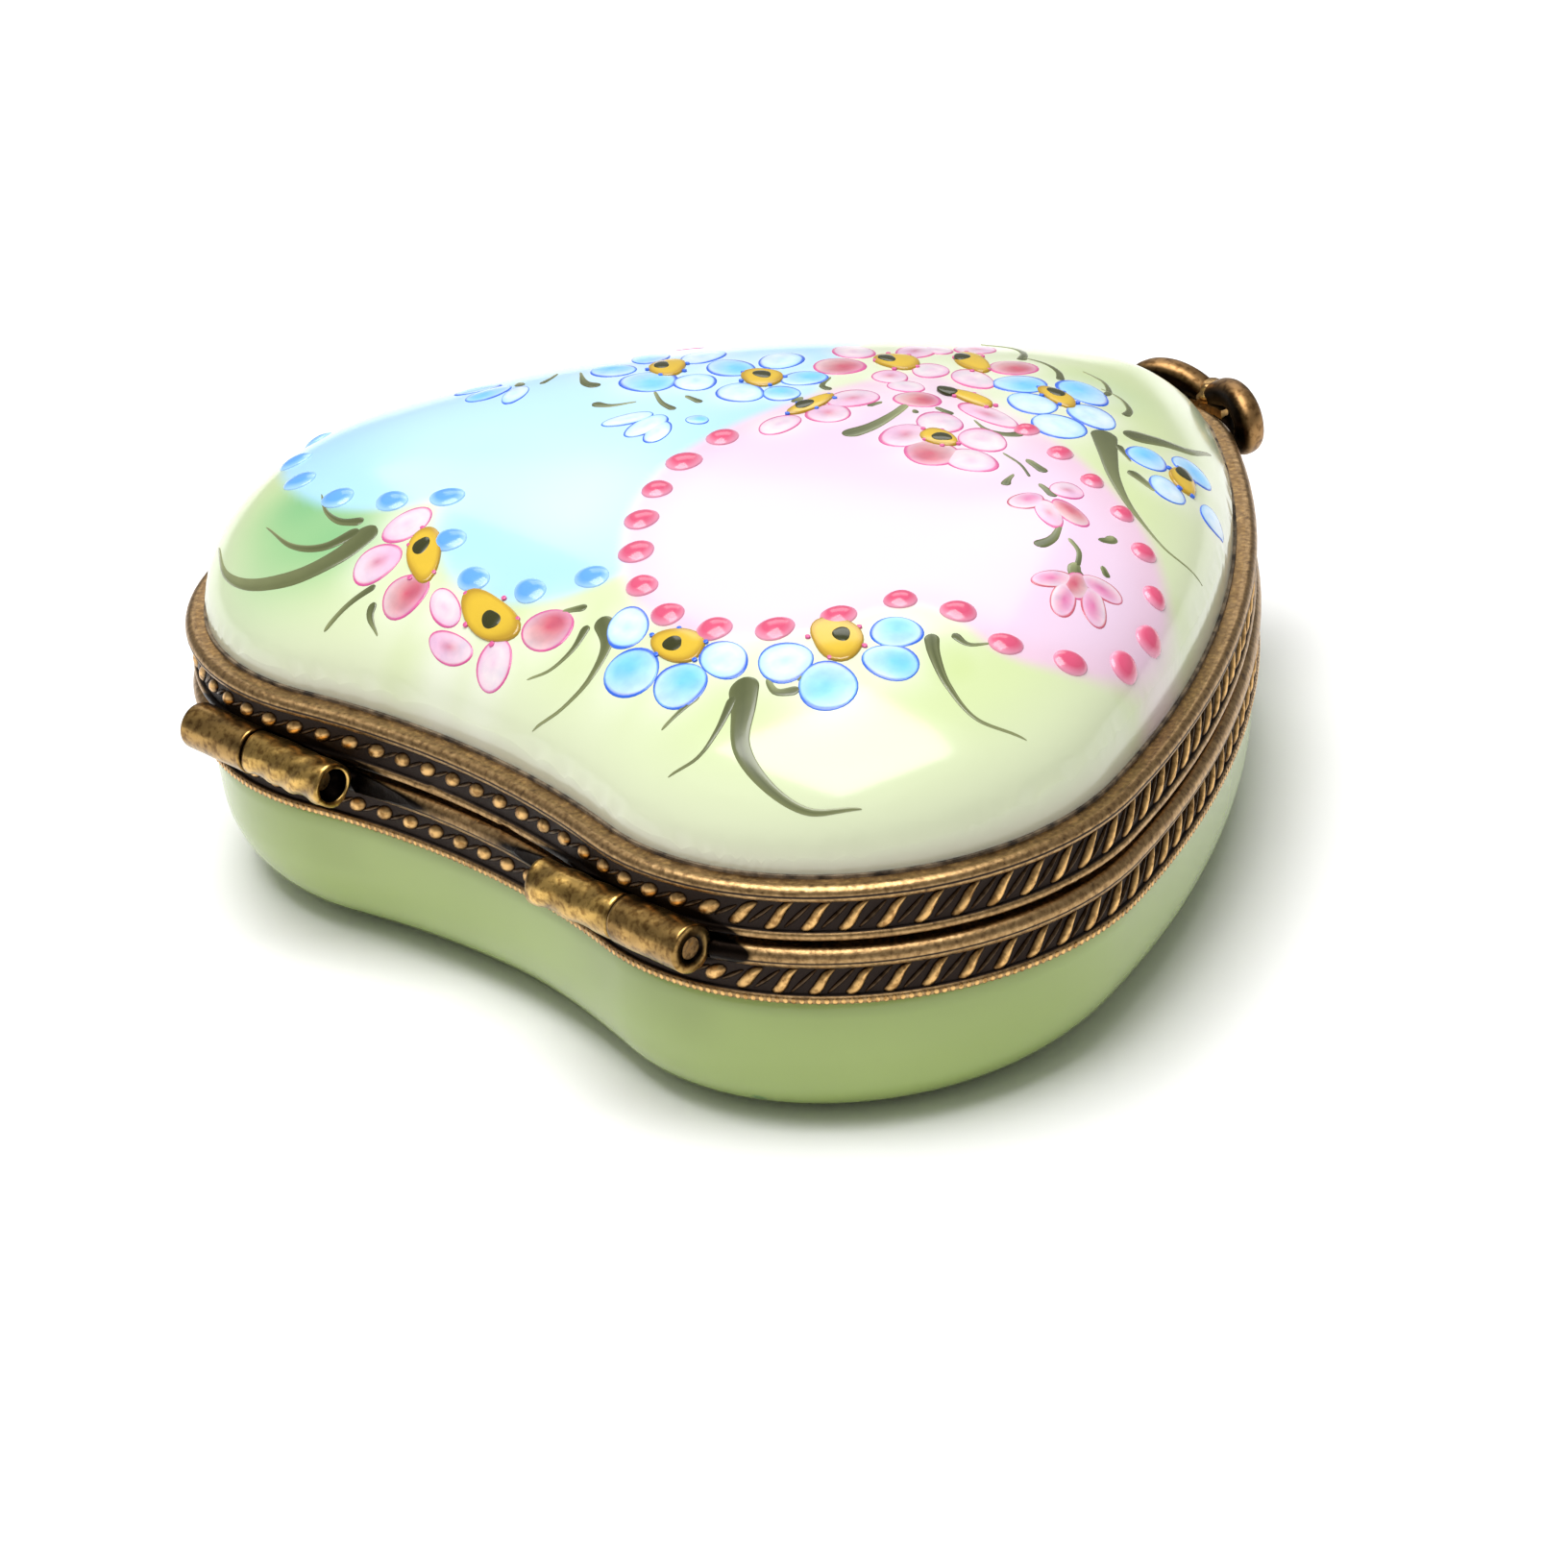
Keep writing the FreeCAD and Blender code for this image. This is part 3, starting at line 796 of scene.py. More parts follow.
# petals: middle, length and width, turn in degrees, kind
PINK_PETALS = [
    ((-0.4, 20.6), (2.3, 1.8), -50, "open"), ((2.5, 20.7), (2.6, 1.3), 0, "half"),
    ((4.1, 19.5), (2.3, 1.3), -28, "open"), ((-2, 18.7), (2.6, 2), 0, "solid"),
    ((6.65, 19.7), (2.2, 2.1), 60, "solid"), ((9.4, 19), (2.3, 2), 70, "half"),
    ((9.85, 16.7), (2.5, 1.7), 90, "open"), ((-7.7, -1.8), (2.7, 1.6), -10, "open"),
    ((-5.8, -1.2), (2.7, 1.9), -15, "solid"), ((-3.5, -1.8), (2.3, 2), -20, "half"),
    ((-6.4, -3.8), (2.7, 1.6), -15, "open"), ((-3.5, -3.9), (2.6, 1.5), -15, "open"),
    ((1.9, 1), (2.2, 1.3), 95, "open"), ((1.1, -1.3), (2, 1.6), 60, "half"),
    ((1.6, -3.3), (2.2, 1.7), 70, "half"), ((-4.4, -6.1), (3.6, 1.1), -3, "half"),
    ((-0.7, -5.2), (2.2, 1.4), 8, "solid"), ((0.9, -6), (1.7, 1.1), 10, "open"),
    ((5.2, -5.8), (2.3, 1.8), 0, "solid"), ((2.4, -6.4), (1.8, 1.2), 0, "half"),
    ((6.4, -7.8), (2.3, 1.5), -20, "open"), ((1.7, -8.3), (2, 1.3), -35, "open"),
    ((4.4, -9.9), (2.2, 1.5), -60, "half"), ((-0.5, -8.9), (2.6, 1.4), -20, "open"),
    ((-0.5, -11.5), (2.1, 1.7), 60, "solid"), ((3, -12.4), (2.1, 1.5), -60, "half"),
    ((3.9, -10.9), (1.6, 1), -20, "open"),
]
BLUE_PETALS = [
    ((-10.9, 18.9), (2.8, 2.1), -20, "full"), ((-8, 19.1), (2.8, 2.3), -10, "full"),
    ((-11.7, 17), (2.6, 1.8), -15, "clear"), ((-5.8, 17.3), (2.5, 1.8), -50, "clear"),
    ((-16.9, 15.8), (2.8, 2.3), -40, "full"), ((-14.3, 15.8), (2.6, 2.1), -15, "clear"),
    ((-18, 13.1), (2.5, 1.9), -5, "full"), ((-16.7, 11.5), (2.3, 1.9), 10, "full"),
    ((10.8, 1.1), (2.6, 2), 0, "full"), ((8.9, -0.1), (2.1, 1.5), 0, "clear"),
    ((13.6, 0.9), (2.3, 1.5), 10, "full"), ((13.8, -1.6), (2.4, 1.5), -35, "full"),
    ((11.5, -2.9), (2.4, 1.6), -60, "clear"), ((6.2, -0.5), (2.4, 1.6), -5, "clear"),
    ((9, -2.4), (2.5, 1.6), -15, "full"), ((5.2, -3.6), (2.1, 1.4), 40, "full"),
    ((7.9, -4.6), (2.4, 1.6), -65, "clear"), ((4.6, -1.6), (1.8, 1.3), 0, "full"),
    ((-4.6, -8.7), (2.7, 1.7), -15, "clear"), ((-2.4, -10.1), (2.2, 2), 0, "full"),
    ((-7, -10.1), (2.6, 1.8), -20, "clear"), ((-4.5, -12), (2.9, 1.8), -10, "full"),
    ((-7.3, -7.7), (2.8, 1.9), -25, "clear"), ((-13.5, -8.2), (2, 1.5), -20, "clear"),
    ((-11.1, -9.4), (2.1, 1.6), -20, "full"), ((-14.6, -9.8), (1.7, 1.4), -60, "clear"),
    ((-11.7, -11.6), (2, 1.7), -60, "full"),
]
# flower centres: middle, length and width, turn, and the place of the dark eye
CENTRES = [
    ((1.5, 19.1), (4.2, 1.8), -12, (1.15, 19.25)), ((7.5, 17.7), (3.6, 1.7), -45, (7.9, 17.5)),
    ((-9, 17.2), (3.3, 1.7), 0, (-8.8, 17.3)), ((-15, 13.4), (3.3, 2.3), -20, (-15.1, 13.2)),
    ((-4.8, -2.6), (2.5, 1.3), -8, (-5, -2.6)), ((2.5, -1.5), (2.9, 1.1), 90, (2.6, -1.2)),
    ((-2.4, -7), (3.2, 0.9), -3, (-1, -6.8)), ((3.7, -8.1), (2.6, 1.9), -15, (4.2, -7.9)),
    ((1.3, -10.6), (3.2, 1.5), -30, (2, -10.6)), ((6.8, -2.4), (2.3, 2), 0, (6.9, -2.5)),
    ((11.5, -0.7), (2.4, 1.9), -30, (11.8, -0.6)), ((-4.6, -10.3), (2.7, 1.3), -10, (-4.3, -10.5)),
    ((-12.7, -10), (2.3, 1.2), -38, (-12.3, -10.4)),
]
# bell buds: their petals, each as middle, size, turn and kind
PINK_BELLS = [
    ((-19.2, 4), (2.6, 1), -50, "rose"), ((-20, 3), (2.5, 1.1), -38, "rose"),
    ((-17.9, 3.3), (2, 1.1), 75, "rose"), ((-19.2, 1.7), (1.9, 1.1), 15, "rose"),
    ((-18.7, 2.7), (1.9, 0.9), -45, "solid"), ((-13.8, -0.6), (2.4, 0.9), -32, "half"),
    ((-14.2, -1.5), (2.4, 0.9), -10, "solid"), ((-12.4, -0.6), (1.7, 1.1), 80, "rose"),
    ((-12.6, -2.9), (1.5, 1.2), -60, "half"),
]
BLUE_BELLS = [
    ((5.9, 4.9), (2.2, 1), 115, "clear"), ((6.9, 4.7), (2.5, 1.3), 95, "clear"),
    ((8.2, 4.7), (2.2, 1.1), 65, "clear"), ((5.4, 2.9), (1.1, 0.7), 0, "full"),
    ((15.3, 5.5), (2.3, 1), 125, "clear"), ((16.8, 5.9), (2.3, 1.5), 95, "full"),
    ((18.2, 5.4), (2.2, 1.2), 50, "full"),
]
# leaves and stems: points from the full end to the thin end, and both widths
LEAVES = [
    ([(11.3, 17.4), (11.6, 19.3), (13, 20.9), (15.5, 21.6), (18.2, 21.1), (20.9, 19.4)], 1.6, 0.12),
    ([(11.9, 17.9), (12.9, 19.3), (14.8, 19.7), (17.5, 19)], 0.9, 0.1),
    ([(12.2, 17.4), (13.4, 17.8), (14.8, 17.5), (16.2, 16.6)], 0.7, 0.1),
    ([(8, 20.5), (7.7, 21), (6.8, 21.4)], 0.7, 0.1),
    ([(8.5, 19.9), (9.2, 20.9), (9.8, 22.1)], 0.4, 0.25),
    ([(-4.1, 17.3), (-5.6, 18.4), (-6.1, 20), (-5.5, 21.2), (-4.2, 21.9)], 1.1, 0.1),
    ([(-3.8, 17.9), (-4.1, 19.1), (-3.7, 20.1), (-2.7, 20.7)], 0.6, 0.1),
    ([(-2.9, 17.1), (-2.3, 17.5), (-1.9, 17.8)], 0.6, 0.3),
    ([(-13.4, 17.4), (-14.6, 18.6), (-16, 20.1), (-18, 20.6), (-20, 20.2), (-21.7, 18.7)], 1.7, 0.12),
    ([(-13.8, 18.4), (-14.4, 20), (-14.4, 21.2), (-13.5, 22.2)], 0.6, 0.12),
    ([(-12.2, 19), (-12, 20), (-11.8, 20.9)], 0.5, 0.2),
    ([(-16.1, 16.7), (-15.3, 17.3), (-14.4, 17)], 0.7, 0.3), ([(-15.8, 16.2), (-15.5, 16.1)], 0.5, 0.4),
    ([(-17.9, 10.6), (-19, 11.5), (-20.7, 12.4), (-22.6, 12.7), (-24.2, 11.4)], 0.8, 0.12),
    ([(-18.5, 9.9), (-19.4, 9.9), (-19.9, 9.1)], 0.6, 0.15), ([(-17.1, 9.2), (-17.5, 8.6)], 0.5, 0.3),
    ([(-18.7, 0.8), (-18, 0.4)], 0.4, 0.3), ([(-16.4, -1), (-16.6, -1.5), (-16.4, -1.9)], 0.3, 0.7),
    ([(-15.6, 2), (-15.5, 0.9), (-14.8, -0.3)], 0.9, 0.3),
    ([(-10.7, -1), (-10.4, -1.4), (-10.1, -2.1)], 0.7, 0.2),
    ([(-10.7, -2.5), (-9.5, -3.1), (-8.1, -3.4)], 0.16, 0.14), ([(-10.8, -3.4), (-9.3, -3.7)], 0.6, 0.4),
    ([(-7.1, -5.7), (-6.6, -5), (-5.6, -4.8), (-4.4, -5.2)], 0.8, 0.12),
    ([(-3.2, -5), (-2, -5.1)], 0.5, 0.3),
    ([(-1.3, 0), (-1.5, -1.5), (-1.2, -3.2), (-0.7, -4.6)], 1.3, 0.5),
    ([(-1.9, -4), (-1.5, -4.2)], 0.35, 0.3),
    ([(-8.4, -9.4), (-10.5, -7.6), (-12.5, -6), (-15, -4.6), (-17.3, -4.1), (-18.4, -5.2)], 1.5, 0.12),
    ([(-12, -7.4), (-13.7, -7.3)], 0.8, 0.5), ([(-9.8, -8.9), (-11.3, -8.2)], 0.6, 0.15),
    ([(-8.9, -10.2), (-9.6, -11.6), (-10, -13.2), (-9.2, -15.4)], 1.8, 0.15),
    ([(-7.2, -12), (-6.6, -12.9), (-5.4, -13.5), (-4.3, -13.4)], 0.5, 0.16),
    ([(-5, -12.9), (-4.6, -13.6), (-3.5, -14.3), (-2.2, -14.3)], 0.45, 0.16),
    ([(-2.9, -12.2), (-1.9, -13), (-0.6, -13.3), (0.7, -13)], 0.5, 0.14),
    ([(0.2, -12.7), (1.2, -13.8), (2.6, -14.3), (4.2, -13.9)], 0.6, 0.14),
    ([(3.2, -3.4), (3.9, -3.5), (4.4, -4.5)], 0.5, 0.2), ([(0.4, -3.1), (0.3, -3.9)], 0.4, 0.3),
    ([(3.4, -1.2), (3.5, -1.9)], 0.6, 0.4), ([(11, 4.4), (10.1, 4.1), (9.4, 3.1)], 0.8, 0.15),
    ([(7.2, 2.7), (8.3, 2.5), (9.6, 1.8)], 0.5, 0.2), ([(6.8, 1.4), (8, 1.3)], 0.5, 0.3),
    ([(12.4, 2.8), (13.4, 2.8), (14.9, 1.8)], 0.9, 0.15),
    ([(15.3, 3.9), (15.6, 3), (16, 2.3)], 0.4, 0.2),
    ([(-18.4, 2.2), (-17.8, 1.9), (-17.4, 1.4)], 0.9, 0.6),
    ([(-17.6, 1.5), (-16.8, 0.6), (-15.8, 0.2)], 0.3, 0.25), ([(-12.8, -2), (-11.5, -2.3)], 0.7, 0.3),
    ([(16.1, 4.5), (16.7, 4.1)], 0.7, 0.5), ([(15.6, -8.6), (13.8, -11.2), (11.2, -13.6)], 0.7, 0.12),
    ([(15.2, -9.2), (13.6, -10.2), (12, -11.4)], 0.5, 0.12),
]
# blue dots round the outer side of the blue heart
BLUE_DOTS = [
    (-1.6, 15.6), (0.6, 17.4), (3.9, 17.9), (7, 16.6), (9.7, 14.4), (12, 15.8), (15, 16.6),
    (18.7, 15.9), (21.2, 14.2), (23.4, 11.2), (23.9, 8), (23.3, 4.9), (22.2, 1.9), (20.5, -0.9),
    (18.3, -3.3),
]
# flowers on the steep far side: middle, distance to the petals' middles, petal size, kinds
SIDE_FLOWERS = [
    ((16, -5.8), 1.35, (2, 1.6), ("open", "solid", "half", "open", "solid")),
]


def side_petals(middle, reach, size, kinds):
    """Petals round a flower's middle, shortened down the slope as they are themselves."""
    shortening, downhill = fall_line(middle)
    for index, kind in enumerate(kinds):
        angle = 2 * math.pi * index / len(kinds)
        offset = reach * np.array([math.cos(angle), math.sin(angle)])
        offset = offset - shortening * (offset @ downhill) * downhill
        yield (middle[0] + offset[0], middle[1] + offset[1]), size, math.degrees(angle), kind


def dots_along(build, line, first, last, pitch, size, lift, tints):
    """Enamel dots evenly spaced along part of a closed line."""
    curve = closed_curve(line)
    steps = np.linalg.norm(np.roll(curve, -1, axis=0) - curve, axis=1)
    total = steps.sum()
    travelled = np.concatenate([[0], np.cumsum(steps)])
    ring = np.vstack([curve, curve[:1]])

    def at(place):
        return [np.interp(place % total, travelled, ring[:, axis]) for axis in (0, 1)]

    place = first * total
    while place < last * total:
        x, y = at(place)
        turn = math.degrees(direction((x, y), at(place + 0.2))) + rng.uniform(-12, 12)
        scale = rng.uniform(0.9, 1.1) * np.interp(y, (-7, 5), (0.82, 1.14))
        oval(build, (x, y), (size[0] * scale, size[1] * scale), turn, lift, tints, wobble=0.03, follow=True)
        place += pitch


def fuller(middle, size):
    """Petals overlap their neighbours, and those towards the tip are broader."""
    broad = 1.34 if middle[1] < 3 else 1.16
    return (size[0] * 1.14, size[1] * broad)


def centre_specks(build, middle, size, turn, colour):
    """Small dots where the petals meet, round a flower's centre."""
    for index in range(5):
        angle = 2 * math.pi * (index + rng.uniform(-0.2, 0.2)) / 5
        x, y = turned(0.5 * size[0] * math.cos(angle), 0.5 * size[1] * math.sin(angle), turn)
        oval(build, (middle[0] + x, middle[1] + y), (0.26, 0.22), 0, 0.02, [(0.0, colour), (1.0, colour)],
             base=0.10, wobble=0.0)


# heights of the enamel, and how far a petal fades on its pale side
PINK_LIFT = 0.035
BLUE_LIFT = 0.045
GOLD_BASE, GOLD_LIFT = 0.10, 0.06
EYE_BASE, EYE_LIFT = 0.15, 0.05
PALENESS = 0.5
CENTRE_WOBBLE = 0.08
EYE_SIZE = (1.15, 0.8)
SIDE_CENTRE, SIDE_EYE, SIDE_TURN = (1.9, 1.5), (0.9, 0.7), 30
BLUE_FLOWER_REACH = 2.4
PAINTS = {"leaves": LEAF_PAINT, "pink_petals": PETAL_PAINT, "blue_petals": PETAL_PAINT}


def make_painting():
    names = ("pink_petals", "blue_petals", "flower_centres", "pink_dots", "blue_dots", "leaves")
    pieces = {name: Build() for name in names}

    def petal(name, middle, size, turn, kind, lift):
        oval(pieces[name], middle, size, turn, lift, KINDS[kind], follow=True, paleness=PALENESS)

    def centre(middle, size, eye, eye_size, turn, follow=False):
        build = pieces["flower_centres"]
        oval(build, middle, size, turn, GOLD_LIFT, GOLD_TINTS, GOLD_BASE, CENTRE_WOBBLE, follow)
        oval(build, eye, eye_size, turn, EYE_LIFT, EYE_TINTS, EYE_BASE, CENTRE_WOBBLE, follow)

    for middle, size, turn, kind in PINK_PETALS + PINK_BELLS:
        petal("pink_petals", middle, fuller(middle, size), turn, kind, PINK_LIFT)
    for flower in SIDE_FLOWERS:
        for middle, size, turn, kind in side_petals(*flower):
            petal("pink_petals", middle, size, turn, kind, PINK_LIFT)
        centre(flower[0], SIDE_CENTRE, flower[0], SIDE_EYE, SIDE_TURN, follow=True)
    for middle, size, turn, kind in BLUE_PETALS + BLUE_BELLS:
        petal("blue_petals", middle, fuller(middle, size), turn, kind, BLUE_LIFT)
    for middle, size, turn, eye in CENTRES:
        centre(middle, size, eye, EYE_SIZE, turn)
        blue = min(math.dist(middle, petal_row[0]) for petal_row in BLUE_PETALS) < BLUE_FLOWER_REACH
        centre_specks(pieces["flower_centres"], middle, size, turn, BLUE_LINE if blue else PINK_LINE)
    dots_along(pieces["pink_dots"], PINK_HEART, first=0.02, last=0.80, pitch=2.82, size=(1.5, 1.4), lift=0.28,
               tints=[(0.0, PINK_DOT), (0.6, PINK_DOT), (1.0, PINK_DOT_EDGE)])
    for place in BLUE_DOTS:
        oval(pieces["blue_dots"], place, size=(1.8, 1.5), turn=rng.uniform(-30, 30), lift=0.2,
             tints=[(0.0, BLUE_DOT), (0.6, BLUE_DOT), (1.0, BLUE_DOT_EDGE)], wobble=0.03, follow=True)
    for points, start_width, end_width in LEAVES:
        stroke(pieces["leaves"], points, start_width, end_width)
    for name, build in pieces.items():
        piece = build.piece("painted_" + name, PAINTS.get(name, ENAMEL))
        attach(piece, "lid")


# ---- porcelain base

FACE_INSET = 0.4
CORNER_RADIUS = 4.2
WALL_HEIGHTS = (5.9, 5.2)
FOOT_WIDTH = 1.4
FOOT_RECESS = 0.4
FLOOR_THICKNESS = 2.4
CAVITY_CORNER = 2.0
# the base narrows in X towards the table, and its near lobe stands out a little there
TAPER = 0.037
NEAR_BULGE = 0.6
BULGE_REACH = 12.0


def quarter(inset, height, radius, first, last, steps):
    """Section points of a rounded corner, about a middle point, between two angles in degrees."""
    angles = [math.radians(first + (last - first) * step / steps) for step in range(steps + 1)]
    return [(inset + radius * math.cos(a), height + radius * math.sin(a)) for a in angles]


def make_base():
    mount_bottom = strip_low[2]
    rim_top = base_high[2]
    cavity = RIM_INSET + RIM_THICKNESS
    foot = FACE_INSET + CORNER_RADIUS
    section = quarter(cavity + CAVITY_CORNER, FLOOR_THICKNESS + CAVITY_CORNER, CAVITY_CORNER, 270, 180, 8)
    inside_count = len(section) + 1
    section += [(cavity, rim_top - 0.1), (cavity + 0.1, rim_top), (RIM_INSET + 0.1, rim_top),
                (RIM_INSET, rim_top - 0.1), (RIM_INSET, mount_bottom), (FACE_INSET + 0.05, mount_bottom),
                (FACE_INSET, mount_bottom - 0.05)]
    section += [(FACE_INSET, height) for height in WALL_HEIGHTS]
    section += quarter(foot, CORNER_RADIUS, CORNER_RADIUS, 180, 270, 16)
    section += [(foot + FOOT_WIDTH, 0.0), (foot + FOOT_WIDTH + 0.1, FOOT_RECESS)]
    rows = [heart_ring(inset, height) for inset, height in section]
    last = shrunk_ring(foot + FOOT_WIDTH + 0.1, 0.01)
    rows.append(np.column_stack([last, np.full(AROUND, FOOT_RECESS)]))
    first = [shrunk_ring(cavity + CAVITY_CORNER, share) for share in (0.01, 0.35, 0.7)]
    rows = [np.column_stack([plan, np.full(AROUND, FLOOR_THICKNESS)]) for plan in first] + rows
    for row in rows:
        lowness = np.clip(1 - row[:, 2] / mount_bottom, 0, 1)
        row[:, 1] += NEAR_BULGE * lowness * smooth_step(-row[:, 0] / BULGE_REACH) \
            * smooth_step(row[:, 1] / BULGE_REACH)
        row[:, 0] *= 1 - TAPER * lowness
    build = Build()
    build.rows(rows)
    inside_faces = AROUND * (len(first) + inside_count)
    slots = [1 if index < inside_faces else 0 for index in range(len(build.faces))]
    slots[-2] = 1
    piece = build.piece("porcelain_base", BASE_GLAZE, INSIDE_GLAZE)
    piece.data.polygons.foreach_set("material_index", slots)
    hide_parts("base_shell")
    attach(piece, "base")


# ---- ornament on the gallery strips

FLOOR_INSET = 0.25
LEAF_PITCH = 1.63
# the slanting leaves, and how much more upright, shorter and broader they are along the rear
LEAF_TURN, REAR_TURN = 43, 17
LEAF_LENGTH, REAR_LENGTH = 2.25, 1.05
LEAF_BREADTH, REAR_BREADTH = 0.54, 0.22
MILLING_PITCH = 0.36
GRAIN_SIZE = (0.16, 0.17, 0.06)
GRAIN_INSET = 0.07
GRAIN_HEIGHT = 0.2
LEAF_TOP = linear((232, 186, 120))
LEAF_EDGE = linear((66, 46, 28))


def on_strip(along, height, inset):
    """A point of the band, by its distance round the outline, height and inset."""
    along = np.mod(along, PERIMETER)
    rounds = np.append(ROUND, PERIMETER)
    plan, out = (np.stack([np.interp(along, rounds, np.append(line, line[0])) for line in ring.T], -1)
                 for ring in (OUTLINE, OUTWARD))
    plan = plan - out * np.asarray(inset)[..., None]
    return np.concatenate([plan, np.asarray(height)[..., None]], -1)


def strip_leaf(build, along, middle, size, turn, rise, top_colour, point, bend=0.0):
    """A raised leaf on a strip's floor, bent a little into an S."""
    angles = circle(14)
    rows, colours = [], []
    for share in (0.03, 0.45, 0.75, 0.92, 1.0):
        taper = 1 - point * np.cos(angles)
        u = size[0] / 2 * share * np.cos(angles)
        v = size[1] / 2 * share * np.sin(angles) * taper + bend * np.sin(2 * math.pi * u / size[0])
        lift = rise * (1 - share ** 2.2) if share < 1 else -0.05
        s, z = turned(u, v, turn)
        rows.append(on_strip(along + s, middle + z, np.full_like(s, FLOOR_INSET - lift)))
        colour = mixed(top_colour, LEAF_EDGE, smooth_step((share - 0.55) / 0.4))
        colours.append(np.tile(colour, (len(angles), 1)))
    under = [np.full_like(angles, value) for value in (along, middle, FLOOR_INSET + 0.08)]
    rows.append(on_strip(*under) + rows[0] - rows[0].mean(axis=0))
    colours.append(colours[-1])
    build.rows(rows, colours)


def make_leaves(name, body, low, high):
    build = Build()
    count = round(PERIMETER / LEAF_PITCH)
    middle, room = (low + high) / 2, high - low
    for index in range(count):
        along = PERIMETER * (index + 0.5) / count
        point = on_strip(np.array([along]), np.array([middle]), np.array([0.0]))[0]
        rear = smooth_step((point[1] - 16.0) / 6.0) * smooth_step((20.0 - abs(point[0])) / 4.0)
        turn = LEAF_TURN - REAR_TURN * rear
        length = (LEAF_LENGTH - REAR_LENGTH * rear) * rng.uniform(0.95, 1.05)
        breadth = LEAF_BREADTH + REAR_BREADTH * rear
        length = min(length, room / math.sin(math.radians(turn)) * 1.05)
        strip_leaf(build, along, middle, (length, breadth), turn, 0.24, LEAF_TOP * rng.uniform(0.8, 1.05),
                   0.25 * (1 - rear), 0.10 * (1 - rear))
        # between two leaves, a thin ridge coloured nearly as dark as the patina: painted shade for the dark
        # crescent between them
        strip_leaf(build, along + 0.5 * LEAF_PITCH, middle, (1.9 - 0.6 * rear, 0.24), turn, 0.13,
                   mixed(LEAF_TOP, PATINA, 0.93), 0.0)
    piece = build.piece(name, LEAF_BRASS)
    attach(piece, body)


def ring_bead(build, along, middle, radius, inset):
    """One grain of a milled edge."""
    angles = circle(8)
    rows, colours = [], []
    for share in (0.05, 0.6, 0.9, 1.0):
        s = along + radius[0] * share * np.cos(angles)
        z = middle + radius[1] * share * np.sin(angles)
        lift = radius[2] * math.sqrt(max(1 - share ** 2, 0)) if share < 1 else -0.06
        rows.append(on_strip(s, z, np.full_like(s, inset - lift)))
        colour = mixed(LEAF_TOP, LEAF_EDGE, smooth_step((share - 0.5) / 0.5))
        colours.append(np.tile(colour, (len(angles), 1)))
    build.rows(rows, colours)


def make_milling():
    """Fine milled grains round the lower edge of the base mount."""
    build = Build()
    count = round(PERIMETER / MILLING_PITCH)
    for index in range(count):
        ring_bead(build, PERIMETER * index / count, strip_low[2] + GRAIN_HEIGHT, GRAIN_SIZE, GRAIN_INSET)
    piece = build.piece("base_milled_edge", LEAF_BRASS)
    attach(piece, "base")


# ---- hinge knuckles

WORN_TUBE = linear((206, 166, 98))
HAMMERED_TUBE = linear((232, 190, 108))


def wobble_field(x, angle, phases, sharp):
    """Uneven surface of hand-filed or hammered tube, between -1 and 1."""
    value = sum(math.sin(phase[0] * x + phase[1] * angle + phase[2]) for phase in phases) / len(phases)
    return math.copysign(abs(value) ** sharp, value)


TUBE_GROWTH = 0.09
LID_BORE, BASE_BORE = 0.54, 0.5
BASE_MOUTH = BASE_BORE + 0.27
TUBE_BEVEL = 0.09
LID_DENTS, BASE_DENTS = 0.035, 0.18


def make_knuckle(node, body, depth, side):
    """A short tube with uneven walls, in the place of a plain CAD one, with painted shade in its bore and on
    one end face.
    """
    low, high = box_mm(node)
    radius = (high[2] - low[2]) / 2 + TUBE_GROWTH
    on_lid = body == "lid"
    bore, mouth = (LID_BORE, LID_BORE) if on_lid else (BASE_BORE, BASE_MOUTH)
    phases = [(rng.uniform(1.5, 4.5), rng.choice((1, 2, 3, 4, 5)), rng.uniform(0, 6.3)) for _ in range(5)]
    segments, lengths = 48, 40
    angles = circle(segments)
    near, far = (low[0], high[0]) if side > 0 else (high[0], low[0])
    run = far - near
    tint = WORN_TUBE if on_lid else HAMMERED_TUBE
    build = Build()
    rows, colours = [], []

    def ring(x, size, uneven, colour):
        dent = np.array([(1 + wobble_field(x, a, phases, 0.8)) / 2 for a in angles])
        reach = size - uneven * dent
        rows.append(np.column_stack([np.full(segments, x), HINGE_Y + reach * np.cos(angles),
                                     HINGE_Z + reach * np.sin(angles)]))
        colours.append(mixed(colour, LEAF_EDGE, 0.75 * dent * (uneven > 0)))

    # painted shade: the bore's rings and one end face are coloured near-black
    ring(near + 0.14 * run, mouth, 0, HOLLOW_SHADE)
    ring(near + 0.02 * run, mouth, 0, HOLLOW_SHADE)
    ring(near + 0.002 * run, mouth + 0.05, 0, tint)
    ring(near, radius - TUBE_BEVEL, depth, HOLLOW_SHADE if on_lid else tint)
    for step in range(lengths + 1):
        ring(near + run * (0.01 + 0.98 * step / lengths), radius, depth, tint)
    ring(far, radius - TUBE_BEVEL, depth, tint if on_lid else HOLLOW_SHADE)
    ring(far, bore + 0.02, 0, HOLLOW_SHADE)
    ring(near + 0.15 * run, bore, 0, HOLLOW_SHADE)
    if side < 0:
        rows.reverse()
        colours.reverse()
    build.rows(rows, colours, hollow=True)
    piece = build.piece("worn_" + node, TUBE_BRASS)
    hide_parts(node)
    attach(piece, body)


# ---- bow on the clasp

def rounded_section(thickness, width, count, power):
    """Rounded rectangle, as rows of across and along the width."""
    sides = [np.sign(wave) * np.abs(wave) ** power for wave in (np.cos(circle(count)), np.sin(circle(count)))]
    return np.column_stack([thickness / 2 * sides[0], width / 2 * sides[1]])


